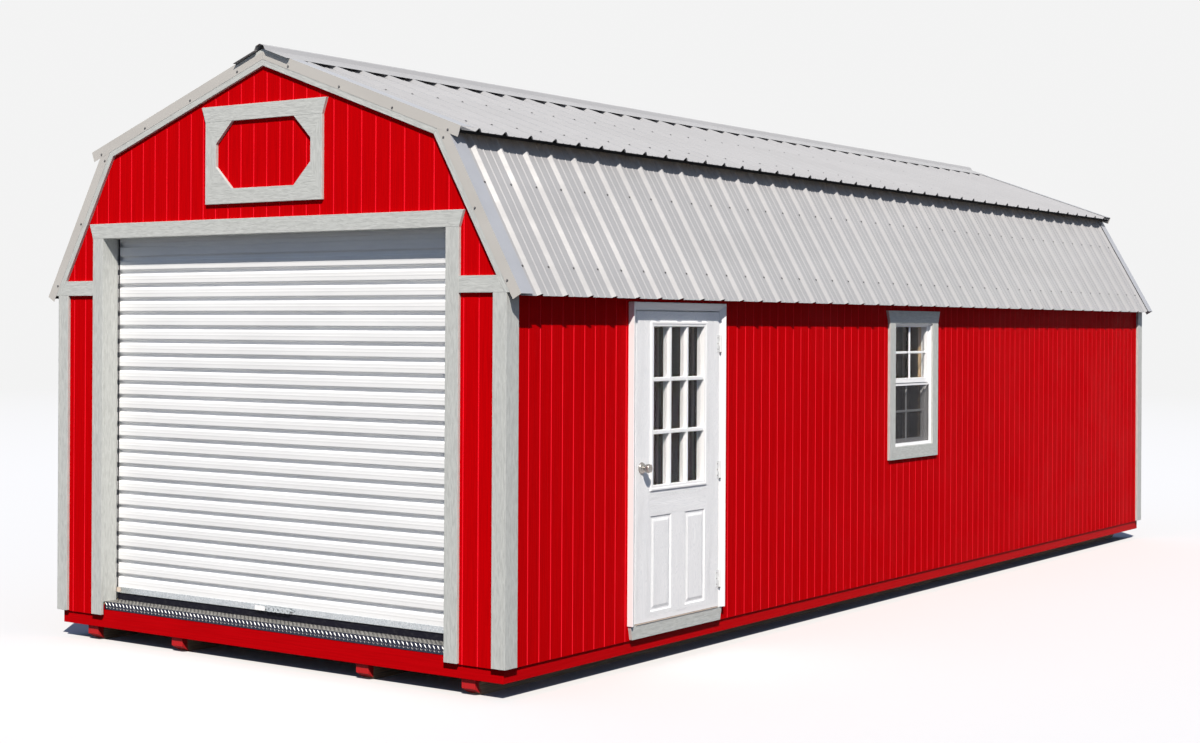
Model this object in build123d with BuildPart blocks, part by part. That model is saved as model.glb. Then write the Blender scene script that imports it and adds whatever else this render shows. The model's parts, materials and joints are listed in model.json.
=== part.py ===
from build123d import *
import math
import os

# A portable gambrel barn on skids: a roll-up door in the front gable, a half-glazed entry door
# and a hung window in the right wall.  Millimetres.  X runs across the front gable, Y from the
# front gable (low Y) to the back one, Z up from the level that the skids rest on.
os.makedirs("parts", exist_ok=True)
INCH = 25.4

# Walls and floor
WIDTH = 135.0 * INCH            # over the siding
LENGTH = 380.0 * INCH           # over the siding
SIDING = 0.4375 * INCH          # siding sheet thickness
STUD = 1.5 * INCH               # thickness of all framing lumber
STUD_DEPTH = 3.5 * INCH
SKID = 3.5 * INCH               # square skid
SKID_MIDDLE = 28.5 * INCH       # inner skids' centres either side of the middle
SKID_INSET = 10.1 * INCH        # outer skids' centres inside the siding's face
SKID_SETBACK = 1.2 * INCH       # skid end behind the gable siding
SKID_NOSE = (2.5 * INCH, 1.4 * INCH)       # sloping run and rise under a skid's end
RIM_DEPTH = 5.5 * INCH
FLOOR = 0.625 * INCH
SIDING_DROP = 3.225 * INCH      # siding's lower edge below the floor
FRAME_COUNT = 17                # rafter pairs, each over a stud

# Roof
UPPER_PITCH = math.radians(20.0)
LOWER_PITCH = math.radians(60.6)
RAFTER_HEEL = 2.055 * INCH      # deck's underside above the plate, over the studs' outer face
KNEE_SETBACK = 16.44 * INCH     # where a side's two deck surfaces meet, inside the siding's face
UPPER_OVERHANG = 5.33 * INCH    # upper roof beyond that meeting, along its slope
LOWER_OVERHANG = 7.64 * INCH    # lower roof beyond the siding's face, along its slope
DECK = 0.4375 * INCH
RIDGE_SLOT = 1.0 * INCH         # deck held back each side of the ridge
RIB_PITCH = 9.0 * INCH
RIB_HEIGHT = 0.75 * INCH
RIB_BASE = 1.75 * INCH
RIB_CROWN = 0.75 * INCH
SHEET = 1.2                     # sheet metal thickness
SHEET_OVERHANG = 0.9 * INCH     # sheet beyond the deck at its lower edge
CAP_WING = 8.5 * INCH           # ridge cap's wing, along the slope
CAP_ROLL = (1.7 * INCH, 0.8 * INCH)        # half width and height of the roll along its middle
CAP_SHOULDER = 1.19 * INCH      # half width of the roll's top
CAP_PROUD = 1.0 * INCH          # cap's end beyond the rake boards

# Trim boards
TRIM = 3.5 * INCH
TRIM_T = 0.75 * INCH
TRIM_DROP = 3.025 * INCH        # trim's lower edge below the floor
RAKE_INNER = -2.85 * INCH       # rake board's inner edge, measured from the deck surface
FLASH_DROP = 2.4 * INCH         # rake flashing's front leg
FLASH_LAP = 4.2 * INCH          # rake flashing's leg on the roof, back from the board's face
FLARE = 1.2 * INCH              # header boards widen by this at each top corner
BAND_DROP = 3.85 * INCH         # eave bands' lower edge below the plate's top

# Roll-up door in the front gable
HEADER_CLEAR = 0.913 * INCH     # header board's flared corners to the rake boards
GARAGE_RISE = 9.7 * INCH        # underside of the header board above the plate's top
JAMB_T = 0.75 * INCH
CURTAIN_SET = 0.35 * INCH       # curtain's front face behind the jamb boards
CURTAIN_OVERLAP = 1.6 * INCH    # curtain edge inside its guide, behind the jamb
CURTAIN_PITCH = 3.3 * INCH
CURTAIN_RIB = 0.45 * INCH       # depth of the channel between two flats
CURTAIN_FLAT = 2.05 * INCH      # height of a flat
CURTAIN_SLOPE = 0.33 * INCH     # height of each sloping side of a channel
CURTAIN_T = 1.2
BAR = (1.2 * INCH, 1.4 * INCH)  # bottom bar's depth and height
BAR_PROUD = 0.2 * INCH          # bar in front of the curtain
BAR_PLAY = 0.1 * INCH           # bar's end to the jamb
SEAL = (0.6 * INCH, 1.7 * INCH)            # depth and height
SEAL_SETBACK = 0.3 * INCH       # seal's face behind the bar's
LATCH_PLATE = (6.0 * INCH, 27.0, 4.0)      # length, height and thickness
LATCH_MIDDLE = -2.5 * INCH      # plate's middle from the door's
LATCH_BOLT = (5.0, 9.0 * INCH)  # radius and length
BOLT_MIDDLE = 1.5 * INCH
COIL_RADIUS = 6.5 * INCH
COIL_SIDES = 12                 # the ribbed curtain winds into flats
COIL_LIFT = 6.0 * INCH          # coil's middle above the doorway's head
COIL_WALL = 3.0                 # curtain wound on its drum wheels
COIL_AXLE = 0.5 * INCH          # radius
AXLE_END = 0.8 * INCH           # axle beyond its brackets
AXLE_PLAY = 0.3
DRUM_T = 6.0
BRACKET_GAP = 8.0               # coil's end to its bracket
BRACKET_T = 5.0
BRACKET_FOOT = (2.0 * INCH, 4.2 * INCH)    # width and height on the header
BRACKET_RIM = 24.0              # plate beside the axle
GUIDE_DEPTH = 2.0 * INCH
GUIDE_T = 3.0
GUIDE_MOUTH = 0.5 * INCH        # guide's open edge outside the jamb's face
GUIDE_PLAY = 0.4 * INCH         # curtain's edge to the guide's web
PLATE_T = 0.12 * INCH           # tread plate bent over the floor's edge
PLATE_LIP = 1.75 * INCH

# Octagon frame in the gable
PANEL = (35.8 * INCH, 18.6 * INCH)         # below its header board
PANEL_REST = 0.732              # share of the free height that lies under it
PANEL_RAIL = 3.4 * INCH         # stiles and bottom rail
PANEL_CUT = 5.0 * INCH          # octagon's cut corners

# Entry door in the right wall
DOOR_PLACE = 64.5 * INCH        # middle of the door behind the front siding
DOOR_CLEAR = 36.0 * INCH        # between the jambs
DOOR_HEIGHT = 69.8 * INCH       # under the head jamb, from the sill's underside
DOOR_REST = 0.075 * INCH        # sill's underside above the floor
DOOR_COVER = 6.9 * INCH         # wall plate's top above the head jamb's underside
DOOR_FACE_OUT = 0.75 * INCH     # leaf's outer face beyond the siding
DOOR_GAP = 5.5                  # leaf to jambs, head and sill
LEAF_T = 44.0
DOOR_SILL_T = 0.9 * INCH
DOOR_SILL_PROUD = 4.0           # sill beyond the moulding's face
SILL_FLARE = 0.72 * INCH        # board under the sill widens by this at each top corner
MOULD = 1.25 * INCH             # width of the moulding around the door
MOULD_REVEAL = 0.3 * INCH
MOULD_PROUD = 9.0               # moulding's face beyond the leaf's face
STOP = 0.5 * INCH
HINGE_RISES = (6.8 * INCH, 32.5 * INCH)    # lower hinges above the sill's underside
HINGE_DROP = 7.6 * INCH         # top hinge below the head jamb's underside
HINGE_LENGTH = 4.0 * INCH
BARREL_R = 6.0
BARREL_PROUD = 8.0              # barrel axis beyond the leaf's face
PIN_R = 3.0
PIN_PLAY = 0.05
HINGE_LEAF_T = 1.6
HINGE_WIDTH = 1.1 * INCH        # plate on the leaf's face, from the pin
LITE = (22.0 * INCH, 36.0 * INCH)          # hole for the glass
LITE_DROP = 3.5 * INCH          # hole's top below the head jamb's underside
LITE_RIM = 1.0 * INCH
LITE_LAP = 0.5 * INCH           # rim over the glass
LITE_PROUD = 8.0
LITE_EASE = 4.0                 # chamfer round the rim's outer edge
PANE_T = 6.0
LEAF_PANEL = (9.0 * INCH, 21.0 * INCH)     # pressed panels below the glass
LEAF_PANEL_RISE = 2.2 * INCH    # above the leaf's lower edge
LEAF_PANEL_RING = (0.6 * INCH, 1.1 * INCH) # channel's inset and width
LEAF_PANEL_DEPTH = 6.0
LEVER_RISE = 34.7 * INCH        # above the sill's underside
LEVER_BACKSET = 2.375 * INCH
LEVER_LENGTH = 4.6 * INCH
LEVER_STAND = 52.0              # lever's outer side beyond the leaf's face
LEVER_T = 12.0
LEVER_TIP_R = 7.0
ROSETTE_R = 33.0
ROSETTE_T = 9.0
SPINDLE_R = 9.0
LATCH_BORE_R = 15.0

# Window in the right wall
WINDOW_Y = -0.6 * INCH          # middle of the window
WINDOW = (24.2 * INCH, 34.3 * INCH)
WINDOW_DROP = 9.3 * INCH        # window's top below the plate's top
WINDOW_FRAME = 1.1 * INCH
WINDOW_DEPTH = 3.0 * INCH
WINDOW_PROUD = 0.3 * INCH       # frame's face beyond the siding
SASH = 1.4 * INCH
SASH_T = 0.9 * INCH
SASH_SETBACK = 0.3 * INCH       # outer sash behind the frame's face

SEAM = 0.4                      # open joint between butted boards

# Places worked out from the sizes above
HALF_W = WIDTH / 2
HALF_L = LENGTH / 2
FRONT = -HALF_L
FRAME_HALF_W = HALF_W - SIDING
FRAME_HALF_L = HALF_L - SIDING
RIM_BOTTOM = SKID
RIM_TOP = RIM_BOTTOM + RIM_DEPTH
FLOOR_TOP = RIM_TOP + FLOOR
SIDING_BOTTOM = FLOOR_TOP - SIDING_DROP
TRIM_BOTTOM = FLOOR_TOP - TRIM_DROP
DOOR_Y = FRONT + DOOR_PLACE
DOOR_BOTTOM = FLOOR_TOP + DOOR_REST
DOOR_HEAD = DOOR_BOTTOM + DOOR_HEIGHT
PLATE_TOP = DOOR_HEAD + DOOR_COVER
BAND_BOTTOM = PLATE_TOP - BAND_DROP
GARAGE_HEAD = PLATE_TOP + GARAGE_RISE
WINDOW_BOTTOM = PLATE_TOP - WINDOW_DROP - WINDOW[1]
KNEE_X = HALF_W - KNEE_SETBACK
KNEE_Z = (PLATE_TOP + RAFTER_HEEL + (KNEE_SETBACK - SIDING) * math.tan(LOWER_PITCH)
          + DECK / math.cos(LOWER_PITCH))
RIDGE_Z = KNEE_Z + KNEE_X * math.tan(UPPER_PITCH)
UPPER_RUN = KNEE_X / math.cos(UPPER_PITCH) + UPPER_OVERHANG
LOWER_RUN = KNEE_SETBACK / math.cos(LOWER_PITCH) + LOWER_OVERHANG
RIB_TOP = RIB_HEIGHT + SHEET
RAKE_OUTER = RAKE_INNER + TRIM
FLASH_TOP = RIB_TOP + SHEET
FLASH_BOTTOM = FLASH_TOP - FLASH_DROP
JAMB_DEPTH = SIDING + STUD_DEPTH
CURTAIN_BACK = JAMB_DEPTH + CURTAIN_SET
OPENING_TOP = GARAGE_HEAD + JAMB_T
RAFTER_UNDER = -DECK - STUD_DEPTH
FRAME_SPACING = (2 * FRAME_HALF_L - STUD) / (FRAME_COUNT - 1)
FRAME_PLACES = [-FRAME_HALF_L + STUD / 2 + n * FRAME_SPACING for n in range(FRAME_COUNT)]


def upper_z(x, out=0.0):
    """Height at x of a line parallel to the upper deck surface, `out` above it."""
    return RIDGE_Z - x * math.tan(UPPER_PITCH) + out / math.cos(UPPER_PITCH)


def lower_x(z, out=0.0):
    """Distance from the middle at height z of a line parallel to the lower deck surface."""
    return KNEE_X + (KNEE_Z - z) / math.tan(LOWER_PITCH) + out / math.sin(LOWER_PITCH)


def knee(upper_out, lower_out):
    """Where a line parallel to the upper slope meets one parallel to the lower slope."""
    rise = KNEE_Z - RIDGE_Z - upper_out / math.cos(UPPER_PITCH)
    reach = (KNEE_X + lower_out / math.sin(LOWER_PITCH)) * math.tan(LOWER_PITCH)
    x = (rise + reach) / (math.tan(LOWER_PITCH) - math.tan(UPPER_PITCH))
    return (x, upper_z(x, upper_out))


def on_upper(run, out=0.0):
    """A point `run` down the upper slope from the ridge and `out` above the deck."""
    return (run * math.cos(UPPER_PITCH) + out * math.sin(UPPER_PITCH),
            RIDGE_Z - run * math.sin(UPPER_PITCH) + out * math.cos(UPPER_PITCH))


def on_lower(run, out=0.0):
    """A point `run` down the lower slope from the knee and `out` above the deck."""
    return (KNEE_X + run * math.cos(LOWER_PITCH) + out * math.sin(LOWER_PITCH),
            KNEE_Z - run * math.sin(LOWER_PITCH) + out * math.cos(LOWER_PITCH))


def lower_run(point):
    """How far down the lower slope from the knee a point lies."""
    return ((point[0] - KNEE_X) * math.cos(LOWER_PITCH)
            + (KNEE_Z - point[1]) * math.sin(LOWER_PITCH))


def framing_top(x):
    """Underside of the upper rafters at x, or of the ridge board in the middle."""
    if abs(x) > STUD / 2:
        return upper_z(abs(x), RAFTER_UNDER)
    return upper_z(0, -DECK) - RIM_DEPTH


# The doorway is as wide as its header board's flared corners allow between the rake boards
casing_outer = lower_x(GARAGE_HEAD + TRIM, RAKE_INNER) - HEADER_CLEAR - FLARE
GARAGE_HALF = casing_outer - TRIM
OPENING_HALF = GARAGE_HALF + JAMB_T


def outline(planes, points):
    """A closed outline with straight sides, drawn on one plane or on several."""
    with BuildSketch(*planes) as face:
        with BuildLine():
            Polyline(*points, close=True)
        make_face()
    return face.sketch


def across(*places):
    """Upright planes across the building at the given places along Y; extrude towards -Y."""
    return [Plane.XZ.offset(-y) for y in places]


def along(*places):
    """Upright planes along the building at the given places along X; extrude towards +X."""
    return [Plane.YZ.offset(x) for x in places]


def block(x, y, z):
    """A box between two limits along each axis."""
    with Locations((sum(x) / 2, sum(y) / 2, sum(z) / 2)):
        Box(abs(x[1] - x[0]), abs(y[1] - y[0]), abs(z[1] - z[0]))


def save(piece, name):
    """Label one finished piece and write it to its own file."""
    piece.part.label = name
    export_step(piece.part, f"parts/{name}.step")


# Skids, floor frame and floor
skid_end = HALF_L - SKID_SETBACK
with BuildPart() as skids:
    nose_run, nose_rise = SKID_NOSE
    places = [side * x - SKID / 2 for x in (SKID_MIDDLE, HALF_W - SKID_INSET) for side in (-1, 1)]
    extrude(outline(along(*places),
                    [(-skid_end, SKID), (-skid_end, nose_rise), (-skid_end + nose_run, 0),
                     (skid_end - nose_run, 0), (skid_end, nose_rise), (skid_end, SKID)]),
            amount=SKID)
save(skids, "skids")

with BuildPart() as rim_joists:
    for side in (-1, 1):
        block((side * (FRAME_HALF_W - STUD), side * FRAME_HALF_W),
              (-FRAME_HALF_L, FRAME_HALF_L), (RIM_BOTTOM, RIM_TOP))
        block((-FRAME_HALF_W + STUD + SEAM, FRAME_HALF_W - STUD - SEAM),
              (side * (FRAME_HALF_L - STUD), side * FRAME_HALF_L), (RIM_BOTTOM, RIM_TOP))
save(rim_joists, "rim_joists")

with BuildPart() as floor_joists:
    with Locations(*[(0, y, RIM_BOTTOM + RIM_DEPTH / 2) for y in FRAME_PLACES[1:-1]]):
        Box(2 * (FRAME_HALF_W - STUD), STUD, RIM_DEPTH)
save(floor_joists, "floor_joists")

with BuildPart() as floor_deck:
    block((-FRAME_HALF_W, FRAME_HALF_W), (-FRAME_HALF_L, FRAME_HALF_L), (RIM_TOP, FLOOR_TOP))
save(floor_deck, "floor_deck")

# Tread plate bent over the floor's edge in the roll-up doorway
with BuildPart() as threshold_plate:
    front_edge = -FRAME_HALF_L
    extrude(outline(along(-GARAGE_HALF + SEAM),
                    [(front_edge - PLATE_T, FLOOR_TOP + PLATE_T),
                     (front_edge - PLATE_T, FLOOR_TOP - PLATE_LIP),
                     (front_edge, FLOOR_TOP - PLATE_LIP), (front_edge, FLOOR_TOP),
                     (FRONT + CURTAIN_BACK + GUIDE_DEPTH, FLOOR_TOP),
                     (FRONT + CURTAIN_BACK + GUIDE_DEPTH, FLOOR_TOP + PLATE_T)]),
            amount=2 * (GARAGE_HALF - SEAM))
save(threshold_plate, "threshold_plate")

# Siding
wall_top = KNEE_Z - (HALF_W + DECK / math.sin(LOWER_PITCH) - KNEE_X) * math.tan(LOWER_PITCH)
door_rough = DOOR_CLEAR / 2 + JAMB_T
door_rough_top = DOOR_HEAD + JAMB_T
with BuildPart() as left_siding:
    block((-HALF_W, -FRAME_HALF_W), (-HALF_L, HALF_L), (SIDING_BOTTOM, wall_top))
save(left_siding, "left_siding")

with BuildPart() as right_siding_front:
    block((FRAME_HALF_W, HALF_W), (-HALF_L, DOOR_Y - door_rough), (SIDING_BOTTOM, wall_top))
save(right_siding_front, "right_siding_front")

with BuildPart() as right_siding_at_door:
    for heights in ((SIDING_BOTTOM, DOOR_BOTTOM), (door_rough_top, wall_top)):
        block((FRAME_HALF_W, HALF_W), (DOOR_Y - door_rough, DOOR_Y + door_rough), heights)
save(right_siding_at_door, "right_siding_at_door")

with BuildPart() as right_siding_back:
    block((FRAME_HALF_W, HALF_W), (DOOR_Y + door_rough, HALF_L), (SIDING_BOTTOM, wall_top))
    with Locations((HALF_W - SIDING / 2, WINDOW_Y, WINDOW_BOTTOM + WINDOW[1] / 2)):
        Box(2 * SIDING, WINDOW[0], WINDOW[1], mode=Mode.SUBTRACT)
save(right_siding_back, "right_siding_back")

gable_half = FRAME_HALF_W - SEAM
gable_reach = gable_half + DECK / math.sin(LOWER_PITCH) - KNEE_X
gable_corner = KNEE_Z - gable_reach * math.tan(LOWER_PITCH)
knee_under = knee(-DECK, -DECK)
ridge_under = (0, upper_z(0, -DECK))
with BuildPart() as front_siding:
    strip = [(OPENING_HALF, SIDING_BOTTOM), (gable_half, SIDING_BOTTOM), (gable_half, gable_corner),
             (lower_x(OPENING_TOP, -DECK), OPENING_TOP), (OPENING_HALF, OPENING_TOP)]
    extrude(outline(across(FRONT + SIDING), strip), amount=SIDING)
    mirror(about=Plane.YZ)
save(front_siding, "front_siding")

with BuildPart() as front_gable_siding:
    half = [(lower_x(OPENING_TOP, -DECK), OPENING_TOP), knee_under]
    extrude(outline(across(FRONT + SIDING),
                    half + [ridge_under] + [(-x, z) for x, z in reversed(half)]), amount=SIDING)
save(front_gable_siding, "front_gable_siding")

with BuildPart() as back_siding:
    half = [(gable_half, SIDING_BOTTOM), (gable_half, gable_corner), knee_under]
    extrude(outline(across(HALF_L),
                    half + [ridge_under] + [(-x, z) for x, z in reversed(half)]), amount=SIDING)
save(back_siding, "back_siding")

# Wall framing
frame_in = FRAME_HALF_W - STUD_DEPTH
end_in = FRAME_HALF_L - STUD_DEPTH
stud_bottom = FLOOR_TOP + STUD
stud_top = PLATE_TOP - STUD
trimmer_x = OPENING_HALF + STUD / 2
window_rough = WINDOW[0] / 2 + SEAM
window_head = WINDOW_BOTTOM + WINDOW[1]
window_header_top = window_head + SEAM + STUD
window_sill_bottom = WINDOW_BOTTOM - SEAM - STUD
with BuildPart() as wall_plates:
    for side in (-1, 1):
        block((side * frame_in, side * FRAME_HALF_W), (-FRAME_HALF_L, FRAME_HALF_L),
              (stud_top, PLATE_TOP))
        block((side * OPENING_HALF, side * (frame_in - SEAM)),
              (-FRAME_HALF_L, -end_in), (FLOOR_TOP, stud_bottom))
    block((-FRAME_HALF_W, -frame_in), (-FRAME_HALF_L, FRAME_HALF_L), (FLOOR_TOP, stud_bottom))
    block((frame_in, FRAME_HALF_W), (-FRAME_HALF_L, DOOR_Y - door_rough), (FLOOR_TOP, stud_bottom))
    block((frame_in, FRAME_HALF_W), (DOOR_Y + door_rough, FRAME_HALF_L), (FLOOR_TOP, stud_bottom))
    for heights in ((FLOOR_TOP, stud_bottom), (stud_top, PLATE_TOP)):
        block((-frame_in + SEAM, frame_in - SEAM), (end_in, FRAME_HALF_L), heights)
    # A header over the door, and a header and a rough sill at the window
    block((frame_in, FRAME_HALF_W), (DOOR_Y - door_rough, DOOR_Y + door_rough),
          (door_rough_top + SEAM, stud_top - SEAM))
    for heights in ((window_header_top - STUD, window_header_top),
                    (window_sill_bottom, window_sill_bottom + STUD)):
        block((frame_in, FRAME_HALF_W), (WINDOW_Y - window_rough, WINDOW_Y + window_rough), heights)
save(wall_plates, "wall_plates")

# Studs stand under the rafters, with others beside the door and the window
beside_openings = [DOOR_Y - door_rough - STUD / 2, DOOR_Y + door_rough + STUD / 2,
                   WINDOW_Y - window_rough - STUD / 2, WINDOW_Y + window_rough + STUD / 2]
right_studs = [y for y in FRAME_PLACES if all(abs(y - near) > 2 * STUD for near in beside_openings)
               and abs(y - DOOR_Y) > door_rough and abs(y - WINDOW_Y) > window_rough]
short_studs = [y for y in FRAME_PLACES if abs(y - WINDOW_Y) < window_rough - 2 * STUD]
gable_studs = [n * FRAME_SPACING for n in (-2, -1, 0, 1, 2)]
with BuildPart() as wall_studs:
    middle = (stud_bottom + stud_top) / 2
    with Locations(*[(-FRAME_HALF_W + STUD_DEPTH / 2, y, middle) for y in FRAME_PLACES],
                   *[(FRAME_HALF_W - STUD_DEPTH / 2, y, middle)
                     for y in right_studs + beside_openings]):
        Box(STUD_DEPTH, STUD, stud_top - stud_bottom)
    with Locations(*[(x, FRAME_HALF_L - STUD_DEPTH / 2, middle) for x in gable_studs]):
        Box(STUD, STUD_DEPTH, stud_top - stud_bottom)
    for y in short_studs:
        for heights in ((stud_bottom, window_sill_bottom), (window_header_top, stud_top)):
            block((frame_in, FRAME_HALF_W), (y - STUD / 2, y + STUD / 2), heights)
    for side in (-1, 1):
        block((side * (trimmer_x - STUD / 2), side * (trimmer_x + STUD / 2)),
              (-FRAME_HALF_L, -end_in), (stud_bottom, OPENING_TOP))
    # Gable studs stand on the doorway's header and on the back wall's plate
    for face_y, foot in ((-end_in, OPENING_TOP + RIM_DEPTH), (FRAME_HALF_L, PLATE_TOP)):
        for x in gable_studs:
            low, high = x - STUD / 2, x + STUD / 2
            extrude(outline(across(face_y), [(low, foot), (high, foot), (high, framing_top(high)),
                                             (low, framing_top(low))]), amount=STUD_DEPTH)
save(wall_studs, "wall_studs")

# The header over the roll-up doorway runs on past its trimmers to back the coil's brackets
curtain_half = GARAGE_HALF + CURTAIN_OVERLAP
bracket_x = curtain_half + BRACKET_GAP
header_half = bracket_x + BRACKET_FOOT[0]
with BuildPart() as garage_header:
    block((-header_half, header_half), (-FRAME_HALF_L + STUD + SEAM, -end_in),
          (OPENING_TOP + SEAM, OPENING_TOP + RIM_DEPTH))
save(garage_header, "garage_header")

# Roof framing: each frame is an upper and a lower rafter on both sides of a ridge board
with BuildPart() as rafters:
    ridge_half = STUD / 2
    upper_tail = knee(-DECK, -DECK)
    upper_foot = knee(RAFTER_UNDER, -DECK)
    extrude(outline(across(*[y + STUD / 2 for y in FRAME_PLACES]),
                    [(ridge_half, upper_z(ridge_half, -DECK)), upper_tail, upper_foot,
                     (ridge_half, upper_z(ridge_half, RAFTER_UNDER))]), amount=STUD)
    gap = SEAM / math.cos(UPPER_PITCH)
    lower_head = [(x, z - gap) for x, z in (knee(RAFTER_UNDER, -DECK),
                                            knee(RAFTER_UNDER, RAFTER_UNDER))]
    extrude(outline(across(*[y + STUD / 2 for y in FRAME_PLACES]),
                    [lower_head[0], (FRAME_HALF_W, PLATE_TOP + RAFTER_HEEL), (FRAME_HALF_W, PLATE_TOP),
                     (lower_x(PLATE_TOP, RAFTER_UNDER), PLATE_TOP), lower_head[1]]), amount=STUD)
    mirror(about=Plane.YZ)
save(rafters, "rafters")

with BuildPart() as ridge_board:
    block((-STUD / 2, STUD / 2), (-FRAME_HALF_L, FRAME_HALF_L),
          (upper_z(0, -DECK) - RIM_DEPTH, upper_z(STUD / 2, -DECK)))
save(ridge_board, "ridge_board")

# Roof deck
lower_deck_top = lower_run(knee(-DECK, 0))
with BuildPart() as roof_deck:
    extrude(outline(across(HALF_L),
                    [on_upper(RIDGE_SLOT), on_upper(UPPER_RUN - SHEET_OVERHANG),
                     on_upper(UPPER_RUN - SHEET_OVERHANG, -DECK), on_upper(RIDGE_SLOT, -DECK)]),
            amount=LENGTH)
    extrude(outline(across(HALF_L),
                    [on_lower(lower_deck_top + SEAM), on_lower(LOWER_RUN - SHEET_OVERHANG),
                     on_lower(LOWER_RUN - SHEET_OVERHANG, -DECK),
                     on_lower(lower_deck_top + SEAM, -DECK)]),
            amount=LENGTH)
    mirror(about=Plane.YZ)
save(roof_deck, "roof_deck")


def ribbed_profile():
    """The sheet's section along the building: flats with a raised rib every pitch."""
    rib_count = int(HALF_L // RIB_PITCH)
    places = [n * RIB_PITCH for n in range(-rib_count, rib_count + 1)]
    rise = RIB_BASE / 2 - RIB_CROWN / 2
    slack = SHEET * (math.hypot(rise, RIB_HEIGHT) - rise) / RIB_HEIGHT
    below = [(-HALF_L, 0)]
    above = [(-HALF_L, SHEET)]
    for y in places:
        below += [(y - RIB_BASE / 2, 0), (y - RIB_CROWN / 2, RIB_HEIGHT),
                  (y + RIB_CROWN / 2, RIB_HEIGHT), (y + RIB_BASE / 2, 0)]
        above += [(y - RIB_BASE / 2 - slack, SHEET), (y - RIB_CROWN / 2 - slack, RIB_TOP),
                  (y + RIB_CROWN / 2 + slack, RIB_TOP), (y + RIB_BASE / 2 + slack, SHEET)]
    below.append((HALF_L, 0))
    above.append((HALF_L, SHEET))
    return above + below[::-1]


def ribbed_sheet(side, start, finish, pitch):
    """A ribbed sheet from a point at its upper edge to one at its lower edge."""
    x, z = start
    down = Vector(side * math.cos(pitch), 0, -math.sin(pitch))
    upper_edge = Plane(origin=(side * x, 0, z), x_dir=(0, side, 0), z_dir=down)
    return extrude(outline([upper_edge], ribbed_profile()),
                   amount=math.hypot(finish[0] - x, finish[1] - z))


lower_sheet_top = lower_run(knee(-DECK, FLASH_TOP)) + SEAM
for side, name in ((-1, "left"), (1, "right")):
    with BuildPart() as upper_sheet:
        ribbed_sheet(side, on_upper(RIDGE_SLOT), on_upper(UPPER_RUN), UPPER_PITCH)
    save(upper_sheet, f"roof_upper_{name}")
    with BuildPart() as lower_sheet:
        ribbed_sheet(side, on_lower(lower_sheet_top), on_lower(LOWER_RUN), LOWER_PITCH)
    save(lower_sheet, f"roof_lower_{name}")

# Ridge cap: two wings lying on the ribs and a raised roll along the middle
cap_end = HALF_L + TRIM_T + CAP_PROUD


def cap_side(out, shrink):
    """One side of the cap's section, from the ridge to the wing's edge."""
    roll_half, roll_height = CAP_ROLL
    shoulder = CAP_SHOULDER - shrink
    foot = roll_half - shrink
    return [(0, upper_z(0, out) + roll_height), (shoulder, upper_z(shoulder, out) + roll_height),
            (foot, upper_z(foot, out)), on_upper(CAP_WING, out)]


with BuildPart() as ridge_cap:
    outer = cap_side(RIB_TOP + SHEET, 0)
    inner = cap_side(RIB_TOP, SHEET)
    extrude(outline(across(cap_end),
                    [(-x, z) for x, z in reversed(outer[1:])] + outer
                    + inner[::-1] + [(-x, z) for x, z in inner[1:]]),
            amount=2 * cap_end)
save(ridge_cap, "ridge_cap")

# Rake boards follow the roof's edge on both gables, mitred at the ridge and the knee
with BuildPart() as rake_boards:
    inner_knee = knee(RAKE_INNER, RAKE_INNER)
    outer_knee = knee(RAKE_OUTER, RAKE_OUTER)
    extrude(outline(across(FRONT),
                    [(SEAM, upper_z(SEAM, RAKE_OUTER)), outer_knee, inner_knee,
                     (SEAM, upper_z(SEAM, RAKE_INNER))]), amount=TRIM_T)
    drop = 2 * SEAM
    extrude(outline(across(FRONT),
                    [(outer_knee[0], outer_knee[1] - drop),
                     (lower_x(BAND_BOTTOM, RAKE_OUTER), BAND_BOTTOM),
                     (lower_x(BAND_BOTTOM, RAKE_INNER), BAND_BOTTOM),
                     (inner_knee[0], inner_knee[1] - drop)]), amount=TRIM_T)
    mirror(about=Plane.YZ)
    mirror(about=Plane.XZ)
save(rake_boards, "rake_boards")

# Rake flashing: an angle whose front leg covers the board and whose other leg lies on the ribs
with BuildPart() as rake_flashing:
    face_y = FRONT - TRIM_T
    cap_edge = CAP_WING + SEAM
    extrude(outline(across(face_y),
                    [(SEAM, upper_z(SEAM)), on_upper(CAP_WING),
                     on_upper(CAP_WING, FLASH_BOTTOM), (SEAM, upper_z(SEAM, FLASH_BOTTOM))]),
            amount=SHEET)
    extrude(outline(across(face_y),
                    [on_upper(cap_edge, FLASH_TOP), on_upper(UPPER_RUN, FLASH_TOP),
                     on_upper(UPPER_RUN, FLASH_BOTTOM), on_upper(cap_edge, FLASH_BOTTOM)]),
            amount=SHEET)
    extrude(outline(across(face_y + FLASH_LAP),
                    [on_upper(cap_edge, FLASH_TOP), on_upper(UPPER_RUN, FLASH_TOP),
                     on_upper(UPPER_RUN, RIB_TOP), on_upper(cap_edge, RIB_TOP)]),
            amount=FLASH_LAP)
    under_upper = FLASH_BOTTOM - SEAM
    extrude(outline(across(face_y), [knee(under_upper, FLASH_TOP), on_lower(LOWER_RUN, FLASH_TOP),
                                     on_lower(LOWER_RUN, FLASH_BOTTOM),
                                     knee(under_upper, FLASH_BOTTOM)]), amount=SHEET)
    leg_top = max(lower_sheet_top, lower_run(knee(under_upper, FLASH_TOP)))
    extrude(outline(across(face_y + FLASH_LAP),
                    [on_lower(leg_top, FLASH_TOP), on_lower(LOWER_RUN, FLASH_TOP),
                     on_lower(LOWER_RUN, RIB_TOP), on_lower(leg_top, RIB_TOP)]),
            amount=FLASH_LAP)
    mirror(about=Plane.YZ)
    mirror(about=Plane.XZ)
save(rake_flashing, "rake_flashing")

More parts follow.
